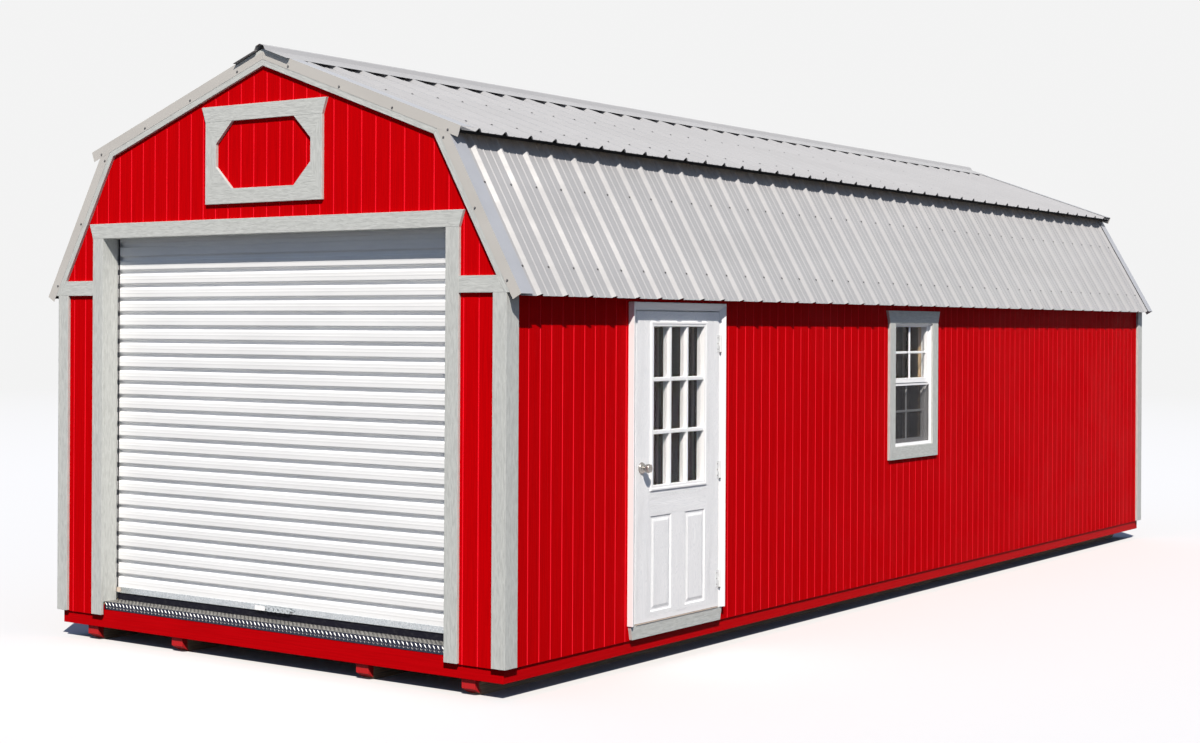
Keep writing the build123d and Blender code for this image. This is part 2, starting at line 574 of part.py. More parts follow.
# Corner boards: one on the gable face and a wider one lapping its edge on the side wall
with BuildPart() as corner_boards:
    gable_edge = HALF_W + TRIM_T
    block((gable_edge - TRIM, gable_edge - TRIM_T - SEAM), (FRONT - TRIM_T, FRONT),
          (TRIM_BOTTOM, BAND_BOTTOM - SEAM))
    block((HALF_W, gable_edge), (FRONT - TRIM_T, FRONT - TRIM_T + TRIM + TRIM_T),
          (TRIM_BOTTOM, BAND_BOTTOM - SEAM))
    mirror(about=Plane.YZ)
    mirror(about=Plane.XZ)
save(corner_boards, "corner_boards")

# Short horizontal bands between the roll-up doorway and the rake boards, and one across the back
band_top = BAND_BOTTOM + TRIM
band_end = [(lower_x(BAND_BOTTOM, RAKE_INNER) - SEAM, BAND_BOTTOM),
            (lower_x(band_top, RAKE_INNER) - SEAM, band_top)]
with BuildPart() as band_boards:
    extrude(outline(across(FRONT), [(casing_outer + SEAM, BAND_BOTTOM)] + band_end
                    + [(casing_outer + SEAM, band_top)]), amount=TRIM_T)
    mirror(about=Plane.YZ)
    extrude(outline(across(HALF_L + TRIM_T), band_end + [(-x, z) for x, z in reversed(band_end)]),
            amount=TRIM_T)
save(band_boards, "band_boards")

# Casing and jamb boards of the roll-up doorway
with BuildPart() as garage_casings:
    block((GARAGE_HALF, casing_outer), (FRONT - TRIM_T, FRONT),
          (TRIM_BOTTOM, GARAGE_HEAD - SEAM))
    mirror(about=Plane.YZ)
save(garage_casings, "garage_casings")

with BuildPart() as garage_jambs:
    block((GARAGE_HALF, OPENING_HALF), (FRONT, FRONT + JAMB_DEPTH),
          (FLOOR_TOP, GARAGE_HEAD - SEAM))
    mirror(about=Plane.YZ)
    block((-OPENING_HALF, OPENING_HALF), (FRONT, FRONT + JAMB_DEPTH), (GARAGE_HEAD, OPENING_TOP))
save(garage_jambs, "garage_jambs")


def flared_board(half, bottom):
    """Outline of a header board whose ends lean out towards its top."""
    return [(-half, bottom), (half, bottom), (half + FLARE, bottom + TRIM),
            (-half - FLARE, bottom + TRIM)]


# Header boards with flared ends, over the doorway, the octagon frame and the window
doorway_top = GARAGE_HEAD + TRIM
panel_half = PANEL[0] / 2
panel_free = upper_z(panel_half + FLARE, RAKE_INNER) - doorway_top - PANEL[1] - TRIM
panel_bottom = doorway_top + PANEL_REST * panel_free
panel_top = panel_bottom + PANEL[1]
with BuildPart() as header_boards:
    extrude(outline(across(FRONT), flared_board(casing_outer, GARAGE_HEAD)), amount=TRIM_T)
    extrude(outline(across(FRONT), flared_board(panel_half, panel_top)), amount=TRIM_T)
    window_flare = [(y + WINDOW_Y, z) for y, z in flared_board(WINDOW[0] / 2 + TRIM, window_head)]
    extrude(outline(along(HALF_W), window_flare), amount=TRIM_T)
save(header_boards, "header_boards")

# Octagon frame in the gable: the header board above closes its top
with BuildPart() as gable_frame:
    inside = panel_half - PANEL_RAIL
    rail_top = panel_bottom + PANEL_RAIL
    frame_top = panel_top - SEAM
    half = [(panel_half, panel_bottom), (panel_half, frame_top), (inside - PANEL_CUT, frame_top),
            (inside, frame_top - PANEL_CUT), (inside, rail_top + PANEL_CUT),
            (inside - PANEL_CUT, rail_top)]
    extrude(outline(across(FRONT), half + [(-x, z) for x, z in reversed(half)]), amount=TRIM_T)
save(gable_frame, "gable_frame")

# Roll-up door: a ribbed curtain that runs up to the coil wound from it
curtain_y = FRONT + CURTAIN_BACK
seal_bottom = FLOOR_TOP + PLATE_T + SEAM
bar_bottom = seal_bottom + SEAL[1]
curtain_bottom = bar_bottom + BAR[1]
coil_z = OPENING_TOP + COIL_LIFT
coil_y = curtain_y + CURTAIN_T + SEAM + COIL_RADIUS
ribs_top = coil_z - math.sqrt(COIL_RADIUS ** 2 - (COIL_RADIUS - CURTAIN_RIB) ** 2)
rib_rows = int((ribs_top - curtain_bottom) // CURTAIN_PITCH)
with BuildPart() as rollup_curtain:
    face = []
    for row in range(rib_rows):
        flat_top = curtain_bottom + row * CURTAIN_PITCH + CURTAIN_FLAT
        next_flat = curtain_bottom + (row + 1) * CURTAIN_PITCH
        face += [(curtain_y, flat_top), (curtain_y + CURTAIN_RIB, flat_top + CURTAIN_SLOPE),
                 (curtain_y + CURTAIN_RIB, next_flat - CURTAIN_SLOPE), (curtain_y, next_flat)]
    face = [(curtain_y, curtain_bottom)] + face + [(curtain_y, coil_z)]
    extrude(outline(along(-curtain_half),
                    face + [(y + CURTAIN_T, z) for y, z in reversed(face)]),
            amount=2 * curtain_half)
save(rollup_curtain, "rollup_curtain")

# The coil: the wound curtain on two drum wheels and an axle
with BuildPart() as rollup_coil:
    for radius, half, mode in ((COIL_RADIUS, curtain_half, Mode.ADD),
                               (COIL_RADIUS - COIL_WALL, curtain_half - DRUM_T, Mode.SUBTRACT)):
        with BuildSketch(Plane.YZ.offset(-half)):
            with Locations((coil_y, coil_z)):
                RegularPolygon(radius, COIL_SIDES)
        extrude(amount=2 * half, mode=mode)
    with Locations(Location((0, coil_y, coil_z), (0, 90, 0))):
        Cylinder(COIL_AXLE, 2 * (bracket_x + BRACKET_T + AXLE_END))
save(rollup_coil, "rollup_coil")

# Brackets on the back of the header carry the coil's axle
with BuildPart() as rollup_brackets:
    foot_width, foot_height = BRACKET_FOOT
    foot_middle = OPENING_TOP + RIM_DEPTH / 2
    rim = COIL_AXLE + BRACKET_RIM
    extrude(outline(along(bracket_x),
                    [(-end_in, foot_middle - foot_height / 2), (coil_y + rim, coil_z - rim),
                     (coil_y + rim, coil_z + rim), (-end_in, foot_middle + foot_height / 2)]),
            amount=BRACKET_T)
    with Locations(Location((bracket_x, coil_y, coil_z), (0, 90, 0))):
        Cylinder(COIL_AXLE + AXLE_PLAY, 4 * BRACKET_T, mode=Mode.SUBTRACT)
    block((bracket_x, bracket_x + foot_width), (-end_in, -end_in + BRACKET_T),
          (foot_middle - foot_height / 2, foot_middle + foot_height / 2))
    mirror(about=Plane.YZ)
save(rollup_brackets, "rollup_brackets")

with BuildPart() as rollup_guides:
    mouth = GARAGE_HALF + GUIDE_MOUTH
    back = curtain_half + GUIDE_PLAY
    front_y = FRONT + JAMB_DEPTH + SEAM
    back_y = front_y + GUIDE_DEPTH
    guide_bottom = FLOOR_TOP + PLATE_T + SEAM
    extrude(outline([Plane.XY.offset(guide_bottom)],
                    [(mouth, front_y), (back, front_y), (back, back_y), (mouth, back_y),
                     (mouth, back_y - GUIDE_T), (back - GUIDE_T, back_y - GUIDE_T),
                     (back - GUIDE_T, front_y + GUIDE_T), (mouth, front_y + GUIDE_T)]),
            amount=OPENING_TOP - guide_bottom)
    mirror(about=Plane.YZ)
save(rollup_guides, "rollup_guides")

bar_half = GARAGE_HALF - BAR_PLAY
bar_face = curtain_y - BAR_PROUD
with BuildPart() as rollup_bottom_bar:
    block((-bar_half, bar_half), (bar_face, bar_face + BAR[0]), (bar_bottom, curtain_bottom - SEAM))
save(rollup_bottom_bar, "rollup_bottom_bar")

with BuildPart() as rollup_seal:
    block((-bar_half, bar_half), (bar_face + SEAL_SETBACK, bar_face + SEAL_SETBACK + SEAL[0]),
          (seal_bottom, bar_bottom))
save(rollup_seal, "rollup_seal")

with BuildPart() as rollup_latch:
    plate_length, plate_height, plate_t = LATCH_PLATE
    bolt_r, bolt_length = LATCH_BOLT
    latch_z = (bar_bottom + curtain_bottom) / 2
    with Locations((LATCH_MIDDLE, bar_face - plate_t / 2, latch_z)):
        Box(plate_length, plate_t, plate_height)
    with Locations((BOLT_MIDDLE, bar_face - bolt_r - SEAM, latch_z)):
        Cylinder(bolt_r, bolt_length, rotation=(0, 90, 0))
save(rollup_latch, "rollup_latch")

# Entry door: frame
leaf_face = HALF_W + DOOR_FACE_OUT
leaf_back = leaf_face - LEAF_T
mould_face = leaf_face + MOULD_PROUD
jamb_back = HALF_W - SIDING - STUD_DEPTH
clear_half = DOOR_CLEAR / 2
stop_face = leaf_back - DOOR_GAP
sill_top = DOOR_BOTTOM + DOOR_SILL_T
mould_start = clear_half + MOULD_REVEAL
mould_end = mould_start + MOULD
with BuildPart() as door_jambs:
    for side in (-1, 1):
        jamb = [(jamb_back, clear_half - STOP), (stop_face, clear_half - STOP),
                (stop_face, clear_half), (leaf_face, clear_half),
                (leaf_face, mould_start), (mould_face, mould_start),
                (mould_face, mould_end), (HALF_W, mould_end),
                (HALF_W, door_rough), (jamb_back, door_rough)]
        extrude(outline([Plane.XY.offset(DOOR_BOTTOM)],
                        [(x, DOOR_Y + side * y) for x, y in jamb]),
                amount=DOOR_HEAD - DOOR_BOTTOM - SEAM)
save(door_jambs, "door_jambs")

with BuildPart() as door_head:
    block((jamb_back, leaf_face), (DOOR_Y - door_rough, DOOR_Y + door_rough),
          (DOOR_HEAD, DOOR_HEAD + JAMB_T))
    block((HALF_W, mould_face), (DOOR_Y - mould_end, DOOR_Y + mould_end),
          (DOOR_HEAD + MOULD_REVEAL, DOOR_HEAD + MOULD_REVEAL + MOULD))
save(door_head, "door_head")

with BuildPart() as door_sill:
    sill_half = clear_half - STOP - SEAM
    block((jamb_back, mould_face + DOOR_SILL_PROUD), (DOOR_Y - sill_half, DOOR_Y + sill_half),
          (DOOR_BOTTOM, sill_top))
save(door_sill, "door_sill")

with BuildPart() as sill_board:
    low = mould_end - SILL_FLARE
    extrude(outline(along(HALF_W),
                    [(DOOR_Y - low, TRIM_BOTTOM), (DOOR_Y + low, TRIM_BOTTOM),
                     (DOOR_Y + mould_end, DOOR_BOTTOM - SEAM),
                     (DOOR_Y - mould_end, DOOR_BOTTOM - SEAM)]),
            amount=TRIM_T)
save(sill_board, "sill_board")

# Entry door: leaf, glass, hinges and lever
leaf_low = DOOR_Y - clear_half + DOOR_GAP
leaf_high = DOOR_Y + clear_half - DOOR_GAP
leaf_bottom = sill_top + DOOR_GAP
leaf_top = DOOR_HEAD - DOOR_GAP
hinge_x = leaf_face + BARREL_PROUD
hinge_y = leaf_high + DOOR_GAP / 2
lever_y = leaf_low + LEVER_BACKSET
lever_z = DOOR_BOTTOM + LEVER_RISE
lite_z = DOOR_HEAD - LITE_DROP - LITE[1] / 2
lite_half = LITE[0] / 2 + LITE_RIM
panel_y = lite_half - LEAF_PANEL[0] / 2
panel_z = leaf_bottom + LEAF_PANEL_RISE + LEAF_PANEL[1] / 2
with BuildPart() as door_leaf:
    block((leaf_back, leaf_face), (leaf_low, leaf_high), (leaf_bottom, leaf_top))
    with Locations(((leaf_back + leaf_face) / 2, DOOR_Y, lite_z)):
        Box(2 * LEAF_T, LITE[0], LITE[1], mode=Mode.SUBTRACT)
    with Locations(Location(((leaf_back + leaf_face) / 2, lever_y, lever_z), (0, 90, 0))):
        Cylinder(LATCH_BORE_R, 2 * LEAF_T, mode=Mode.SUBTRACT)
    inset, ring = LEAF_PANEL_RING
    for face_x, way in ((leaf_face, -1), (leaf_back, 1)):
        with BuildSketch(Plane.YZ.offset(face_x)):
            with Locations((DOOR_Y - panel_y, panel_z), (DOOR_Y + panel_y, panel_z)):
                Rectangle(LEAF_PANEL[0] - 2 * inset, LEAF_PANEL[1] - 2 * inset)
                Rectangle(LEAF_PANEL[0] - 2 * (inset + ring), LEAF_PANEL[1] - 2 * (inset + ring),
                          mode=Mode.SUBTRACT)
        extrude(amount=way * LEAF_PANEL_DEPTH, mode=Mode.SUBTRACT)
save(door_leaf, "door_leaf")

with BuildPart() as lite_frame:
    for face_x, way in ((leaf_face, 1), (leaf_back, -1)):
        with BuildSketch(Plane.YZ.offset(face_x)):
            with Locations((DOOR_Y, lite_z)):
                Rectangle(2 * lite_half, LITE[1] + 2 * LITE_RIM)
                Rectangle(LITE[0] - 2 * LITE_LAP, LITE[1] - 2 * LITE_LAP, mode=Mode.SUBTRACT)
        extrude(amount=way * LITE_PROUD)
        outer = faces().sort_by(Axis.X)[-1 if way > 0 else 0].outer_wire().edges()
        chamfer(outer, LITE_EASE)
save(lite_frame, "lite_frame")

with BuildPart() as door_glass:
    with Locations(((leaf_back + leaf_face) / 2, DOOR_Y, lite_z)):
        Box(PANE_T, LITE[0] - SEAM, LITE[1] - SEAM)
save(door_glass, "door_glass")


hinge_heights = [DOOR_BOTTOM + rise for rise in HINGE_RISES] + [DOOR_HEAD - HINGE_DROP]


def hinge_places(offset=0.0):
    """Middles of the hinges, on the pin's axis."""
    return [Location((hinge_x, hinge_y, z + offset)) for z in hinge_heights]


knuckle = HINGE_LENGTH / 3
with BuildPart() as jamb_hinges:
    with Locations(*hinge_places(-knuckle), *hinge_places(knuckle)):
        Cylinder(BARREL_R, knuckle - 2 * SEAM)
    with Locations(*hinge_places()):
        Cylinder(PIN_R, HINGE_LENGTH - 2 * SEAM)
    for z in hinge_heights:
        for shift in (-knuckle, knuckle):
            block((leaf_face, hinge_x), (hinge_y, hinge_y + BARREL_R),
                  (z + shift - knuckle / 2 + SEAM, z + shift + knuckle / 2 - SEAM))
save(jamb_hinges, "jamb_hinges")

with BuildPart() as leaf_hinges:
    with Locations(*hinge_places()):
        Cylinder(BARREL_R, knuckle - 2 * SEAM)
    for z in hinge_heights:
        block((leaf_face, hinge_x), (hinge_y - BARREL_R, hinge_y - DOOR_GAP / 2),
              (z - knuckle / 2 + SEAM, z + knuckle / 2 - SEAM))
        block((leaf_face, leaf_face + HINGE_LEAF_T), (hinge_y - HINGE_WIDTH, hinge_y - DOOR_GAP / 2),
              (z - HINGE_LENGTH / 2, z + HINGE_LENGTH / 2))
    with Locations(*hinge_places()):
        Cylinder(PIN_R + PIN_PLAY, HINGE_LENGTH, mode=Mode.SUBTRACT)
save(leaf_hinges, "leaf_hinges")

with BuildPart() as door_rosettes:
    for face_x, way in ((leaf_face, 1), (leaf_back, -1)):
        with BuildSketch(Plane.YZ.offset(face_x)):
            with Locations((lever_y, lever_z)):
                Circle(ROSETTE_R)
                Circle(SPINDLE_R + PIN_PLAY, mode=Mode.SUBTRACT)
        extrude(amount=way * ROSETTE_T)
save(door_rosettes, "door_rosettes")

# The lever's arms taper from the spindle to a round tip
with BuildPart() as door_lever:
    for stand_x, way in ((leaf_face + LEVER_STAND, -1), (leaf_back - LEVER_STAND, 1)):
        with BuildSketch(Plane.YZ.offset(stand_x)):
            with Locations((lever_y, lever_z)):
                Circle(SPINDLE_R)
            with Locations((lever_y + LEVER_LENGTH - LEVER_TIP_R, lever_z)):
                Circle(LEVER_TIP_R)
            make_hull()
        extrude(amount=way * LEVER_T)
    with Locations(Location(((leaf_back + leaf_face) / 2, lever_y, lever_z), (0, 90, 0))):
        Cylinder(SPINDLE_R, LEAF_T + 2 * LEVER_STAND)
save(door_lever, "door_lever")

# Window: casing, frame, two sashes and glass
with BuildPart() as window_casing:
    with BuildSketch(Plane.YZ.offset(HALF_W)):
        with Locations((WINDOW_Y, WINDOW_BOTTOM + (WINDOW[1] - TRIM) / 2)):
            Rectangle(WINDOW[0] + 2 * TRIM, WINDOW[1] + TRIM - SEAM)
        with Locations((WINDOW_Y, WINDOW_BOTTOM + WINDOW[1])):
            Rectangle(WINDOW[0], 2 * WINDOW[1], mode=Mode.SUBTRACT)
    extrude(amount=TRIM_T)
save(window_casing, "window_casing")

window_face = HALF_W + WINDOW_PROUD
window_z = WINDOW_BOTTOM + WINDOW[1] / 2
with BuildPart() as window_frame:
    with BuildSketch(Plane.YZ.offset(window_face)):
        with Locations((WINDOW_Y, window_z)):
            Rectangle(WINDOW[0] - SEAM, WINDOW[1] - SEAM)
            Rectangle(WINDOW[0] - 2 * WINDOW_FRAME, WINDOW[1] - 2 * WINDOW_FRAME, mode=Mode.SUBTRACT)
    extrude(amount=-WINDOW_DEPTH)
save(window_frame, "window_frame")

sash_wide = WINDOW[0] - 2 * WINDOW_FRAME - SEAM
sash_high = WINDOW[1] / 2 - WINDOW_FRAME + SASH / 2 - SEAM
upper_sash_z = window_z + WINDOW[1] / 2 - WINDOW_FRAME - sash_high / 2 - SEAM / 2
lower_sash_z = window_z - WINDOW[1] / 2 + WINDOW_FRAME + sash_high / 2 + SEAM / 2
upper_sash_x = window_face - SASH_SETBACK
lower_sash_x = upper_sash_x - SASH_T - SEAM
with BuildPart() as window_sashes:
    for face_x, middle in ((upper_sash_x, upper_sash_z), (lower_sash_x, lower_sash_z)):
        with BuildSketch(Plane.YZ.offset(face_x)):
            with Locations((WINDOW_Y, middle)):
                Rectangle(sash_wide, sash_high)
                Rectangle(sash_wide - 2 * SASH, sash_high - 2 * SASH, mode=Mode.SUBTRACT)
        extrude(amount=-SASH_T)
save(window_sashes, "window_sashes")

with BuildPart() as window_glass:
    for face_x, middle in ((upper_sash_x, upper_sash_z), (lower_sash_x, lower_sash_z)):
        with Locations((face_x - SASH_T / 2, WINDOW_Y, middle)):
            Box(PANE_T, sash_wide - 2 * SASH - SEAM, sash_high - 2 * SASH - SEAM)
save(window_glass, "window_glass")
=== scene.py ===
import json
import math

import bmesh
import bpy
import numpy as np
from mathutils import Matrix, Vector


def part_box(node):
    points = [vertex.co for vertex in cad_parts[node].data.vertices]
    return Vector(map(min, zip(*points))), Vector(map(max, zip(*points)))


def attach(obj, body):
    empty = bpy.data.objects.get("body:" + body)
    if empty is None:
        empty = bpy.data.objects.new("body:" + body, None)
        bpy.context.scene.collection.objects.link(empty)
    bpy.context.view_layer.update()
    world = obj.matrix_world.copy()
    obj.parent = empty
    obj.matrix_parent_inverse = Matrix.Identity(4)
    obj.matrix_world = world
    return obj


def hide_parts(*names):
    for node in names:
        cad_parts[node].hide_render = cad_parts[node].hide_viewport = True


# The looks of the portable barn, in metres: X across the front gable, Y from front to back, Z up.
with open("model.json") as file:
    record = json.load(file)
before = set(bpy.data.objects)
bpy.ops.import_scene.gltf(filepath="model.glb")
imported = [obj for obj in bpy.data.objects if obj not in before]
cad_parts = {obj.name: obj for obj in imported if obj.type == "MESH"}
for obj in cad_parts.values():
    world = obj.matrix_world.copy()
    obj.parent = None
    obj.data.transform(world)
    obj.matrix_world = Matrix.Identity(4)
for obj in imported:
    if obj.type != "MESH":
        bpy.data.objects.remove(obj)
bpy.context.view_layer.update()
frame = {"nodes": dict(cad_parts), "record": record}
nodes = frame["nodes"]
INCH = 0.0254

# Driving sizes that the part's own boxes don't give
UPPER_PITCH = math.radians(20.0)
LOWER_PITCH = math.radians(60.6)
GROOVE_PITCH = 4.0 * INCH
GROOVE_HALF = 0.14 * INCH
GROOVE_FLOOR = 0.05 * INCH
GROOVE_DEPTH = 0.19 * INCH
FIRST_SIDE_GROOVE = 3.85 * INCH  # from the front corner
FRONT_GROOVE_SHIFT = 0.7 * INCH  # first groove right of the middle
RIB_PITCH = 9.0 * INCH
RIB_HEIGHT = 0.75 * INCH
RIB_BASE = 2.0 * INCH
RIB_CROWN = 0.5 * INCH
SHEET = 0.0012
RIB_TOP = RIB_HEIGHT + SHEET  # above the deck
FIRST_RIB = {"upper": 5.45 * INCH, "lower": 6.5 * INCH}  # from the front siding
BEAD_PLACES = (3.2 * INCH, 5.8 * INCH)  # stiffening beads, from one rib to the next
BEAD_HALF = 0.24 * INCH
BEAD_HEIGHT = 0.14 * INCH
SUN_TOWARDS = (1.0, -1.24, 1.55)
GRAIN = "grain"  # UV layer: along the board, across it, in metres
BOARD_SHIFT = 1.37  # the grain starts this much further along on each next board
SIDE_SHIFT = 0.31  # share of that shift that goes across the board
END_FACE = 0.3  # a face turned this near to its board's length, as a sine, is its end
EASED = 0.0016  # rounded edges of boards
WELD = 0.00002  # points of the siding nearer than this are one
PANEL_GROOVE, PANEL_BACK = 1, 2  # materials of a siding panel, after its face's


# Meshes
def ring_faces(count, rings, loop=False):
    """Faces between rings of points: loop joins the last ring to the first, else both ends are capped."""
    faces = [(s * count + i, s * count + (i + 1) % count,
              (s + 1) % rings * count + (i + 1) % count, (s + 1) % rings * count + i)
             for s in range(rings if loop else rings - 1) for i in range(count)]
    if not loop:
        faces += [tuple(range(count))[::-1], tuple(range((rings - 1) * count, rings * count))]
    return faces


class Shape:
    """Vertices and faces collected for one piece, with the number of each face's material."""

    def __init__(self):
        self.points = []
        self.faces = []
        self.finish = []

    def add(self, points, faces):
        start = len(self.points)
        self.points += [Vector(p) for p in points]
        self.faces += [[start + i for i in face] for face in faces]
        self.finish += [0] * len(faces)

    def box(self, low, high):
        x, y, z = zip(low, high)
        corners = [(x[i], y[j], z[k]) for i in (0, 1) for j in (0, 1) for k in (0, 1)]
        self.add(corners, [(0, 1, 3, 2), (4, 6, 7, 5), (0, 4, 5, 1),
                           (2, 3, 7, 6), (0, 2, 6, 4), (1, 5, 7, 3)])

    def frame(self, section, low, high, closed=True):
        """A mitred frame in the YZ plane; section holds (x, inset from the rectangle low to high)."""
        points = []
        for right, top in ((0, 0), (0, 1), (1, 1), (1, 0)):
            for x, inset in section:
                y = high[0] - inset if right else low[0] + inset
                z = high[1] - inset if top else low[1] + (inset if closed else 0)
                points.append((x, y, z))
        self.add(points, ring_faces(len(section), 4, loop=closed))

    def bar(self, start, finish, out, wide, deep, slope=0.0):
        """A straight bar from start to finish that stands out from them, narrower at its face."""
        start, finish, out = Vector(start), Vector(finish), Vector(out)
        across = (finish - start).cross(out).normalized()
        section = [(-wide / 2, 0), (wide / 2, 0), (wide / 2 - slope, deep), (slope - wide / 2, deep)]
        self.add([end + across * a + out * d for end in (start, finish) for a, d in section],
                 ring_faces(4, 2))

    def turned(self, profile, centre, axis, sides):
        """A solid of revolution: profile holds (radius, distance along the axis)."""
        axis = Vector(axis).normalized()
        across = axis.orthogonal().normalized()
        other = axis.cross(across)
        rings = []
        for radius, along in profile:
            for n in range(sides):
                turn = 2 * math.pi * n / sides
                rings.append(Vector(centre) + axis * along
                             + (across * math.cos(turn) + other * math.sin(turn)) * radius)
        self.add(rings, ring_faces(sides, len(profile)))


def outward(mesh, merge=0.0):
    """Turns every face outwards, once points nearer than merge are joined."""
    work = bmesh.new()
    work.from_mesh(mesh)
    if merge:
        bmesh.ops.remove_doubles(work, verts=work.verts, dist=merge)
    bmesh.ops.recalc_face_normals(work, faces=work.faces)
    work.to_mesh(mesh)
    work.free()


def placed(name, data):
    """Puts new data into the scene as an object."""
    made = bpy.data.objects.new(name, data)
    bpy.context.scene.collection.objects.link(made)
    return made


def piece(name, shape, slot, body="barn", stands_for=(), finish=None, smooth=False):
    """Makes a Blender object of a shape on its body, in its slot's finish unless it is given another."""
    mesh = bpy.data.meshes.new(name)
    mesh.from_pydata(shape.points, [], shape.faces)
    mesh.polygons.foreach_set("material_index", shape.finish)
    mesh.polygons.foreach_set("use_smooth", [smooth] * len(mesh.polygons))
    outward(mesh)
    made = placed(name, mesh)
    for material in finish if isinstance(finish, list) else [finish or finishes[slot]]:
        mesh.materials.append(material)
    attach(made, body)
    if stands_for:
        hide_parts(*stands_for)
    return made


def box_piece(name, low, high, slot, body="barn", stands_for=(), finish=None):
    """A piece that is one plain box."""
    shape = Shape()
    shape.box(low, high)
    return piece(name, shape, slot, body, stands_for, finish)


def bevelled(target, width=EASED):
    """Rounds the sharp edges a little, once split corners are welded."""
    weld = target.modifiers.new("weld", "WELD")
    weld.merge_threshold = 0.00001
    bevel = target.modifiers.new("bevel", "BEVEL")
    bevel.width = width
    bevel.segments = 2
    bevel.limit_method = "ANGLE"
    bevel.angle_limit = math.radians(35)


# Grain directions
def islands(mesh):
    """Numbers the separate solids of a mesh: one number for each vertex."""
    where = np.zeros(len(mesh.vertices) * 3)
    mesh.vertices.foreach_get("co", where)
    where = where.reshape(-1, 3)
    _, same = np.unique(np.round(where, 5), axis=0, return_inverse=True)
    parent = list(range(same.max() + 1))

    def root(i):
        while parent[i] != i:
            parent[i] = parent[parent[i]]
            i = parent[i]
        return i

    for face in mesh.polygons:
        first = root(same[face.vertices[0]])
        for v in face.vertices[1:]:
            parent[root(same[v])] = first
    return np.array([root(i) for i in same]), where


def lay_grain(target, direction=None):
    """Writes the grain layer: along each separate board, or along a direction given for a face's middle."""
    mesh = target.data
    number, where = islands(mesh)
    longest = {}
    for board in np.unique(number):
        points = where[number == board]
        _, _, axes = np.linalg.svd(points - points.mean(0), full_matrices=False)
        longest[board] = Vector(axes[0])
    layer = mesh.uv_layers.get(GRAIN) or mesh.uv_layers.new(name=GRAIN)
    shift = {board: n * BOARD_SHIFT for n, board in enumerate(longest)}
    for face in mesh.polygons:
        board = number[face.vertices[0]]
        along = Vector(direction(face.center)) if direction else longest[board]
        across = face.normal.cross(along)
        if across.length < END_FACE:
            along = along.orthogonal()
            across = face.normal.cross(along)
        across.normalize()
        along = across.cross(face.normal)
        for loop in face.loop_indices:
            place = mesh.vertices[mesh.loops[loop].vertex_index].co
            layer.data[loop].uv = (place.dot(along) + shift[board],
                                   place.dot(across) + SIDE_SHIFT * shift[board])


# Materials
class Finish:
    """A material with a Principled shader and short calls for its nodes."""

    def __init__(self, name, colour, roughness, metallic=0.0, shine=0.5, ior=1.5):
        self.material = bpy.data.materials.new(name)
        self.material.use_nodes = True
        self.tree = self.material.node_tree
        self.shader = self.tree.nodes["Principled BSDF"]
        self.shader.inputs["Base Color"].default_value = (*colour, 1)
        self.shader.inputs["Roughness"].default_value = roughness
        self.shader.inputs["Metallic"].default_value = metallic
        self.shader.inputs["Specular IOR Level"].default_value = shine
        self.shader.inputs["IOR"].default_value = ior

    def feed(self, socket, value):
        """Links another node's output to a socket, or sets a number, a vector or a colour on it."""
        if isinstance(value, bpy.types.NodeSocket):
            self.tree.links.new(value, socket)
        else:
            socket.default_value = (*value, 1) if socket.type == "RGBA" else value

    def node(self, kind, inputs, **settings):
        """A new node; inputs holds what goes to each of its sockets."""
        made = self.tree.nodes.new(kind)
        for key, value in settings.items():
            setattr(made, key, value)
        for key, value in inputs.items():
            self.feed(made.inputs[key], value)
        return made

    def place(self, scale, layer=None, turn=(0, 0, 0)):
        """Coordinates in metres times a scale, from the grain layer or the object."""
        if layer:
            source = self.node("ShaderNodeUVMap", {}, uv_map=layer).outputs["UV"]
        else:
            source = self.node("ShaderNodeTexCoord", {}).outputs["Object"]
        made = self.node("ShaderNodeMapping", {"Scale": scale, "Rotation": turn, "Vector": source})
        return made.outputs["Vector"]

    def noise(self, scale, layer=None, detail=4.0, roughness=0.55, distortion=0.0):
        return self.node("ShaderNodeTexNoise", {
            "Scale": 1.0, "Detail": detail, "Roughness": roughness, "Distortion": distortion,
            "Vector": self.place(scale, layer)}).outputs["Fac"]

    def cells(self, scale, turn=(0, 0, 0)):
        """Two values that change from cell to cell."""
        made = self.node("ShaderNodeTexVoronoi", {"Scale": 1.0, "Vector": self.place(scale, turn=turn)})
        split = self.node("ShaderNodeSeparateColor", {"Color": made.outputs["Color"]})
        return split.outputs["Red"], split.outputs["Green"]

    def reach(self, output, axis):
        """Size of one component of a texture coordinate, without its sign."""
        source = self.node("ShaderNodeTexCoord", {}).outputs[output]
        split = self.node("ShaderNodeSeparateXYZ", {"Vector": source})
        return self.maths("ABSOLUTE", split.outputs[axis], 0.0)

    def spread(self, value, low, high, to_low=0.0, to_high=1.0):
        return self.node("ShaderNodeMapRange", {"Value": value, "From Min": low, "From Max": high,
                                                "To Min": to_low, "To Max": to_high}).outputs["Result"]

    def maths(self, operation, a, b):
        return self.node("ShaderNodeMath", {0: a, 1: b}, operation=operation).outputs["Value"]

    def mixed(self, factor, first, second):
        """A colour between two, each a colour or another node's output."""
        made = self.node("ShaderNodeMix", {"Factor": factor, 6: first, 7: second}, data_type="RGBA")
        return made.outputs[2]

    def paint(self, colour):
        self.feed(self.shader.inputs["Base Color"], colour)

    def rough(self, value):
        self.feed(self.shader.inputs["Roughness"], value)

    def bump(self, height, distance, strength=1.0):
        """Relief on top of what the surface already has."""
        made = self.node("ShaderNodeBump", {"Strength": strength, "Distance": distance, "Height": height})
        normal = self.shader.inputs["Normal"]
        if normal.is_linked:
            self.feed(made.inputs["Normal"], normal.links[0].from_socket)
        self.feed(normal, made.outputs["Normal"])


def shade(colour, factor):
    return tuple(min(1.0, c * factor) for c in colour)


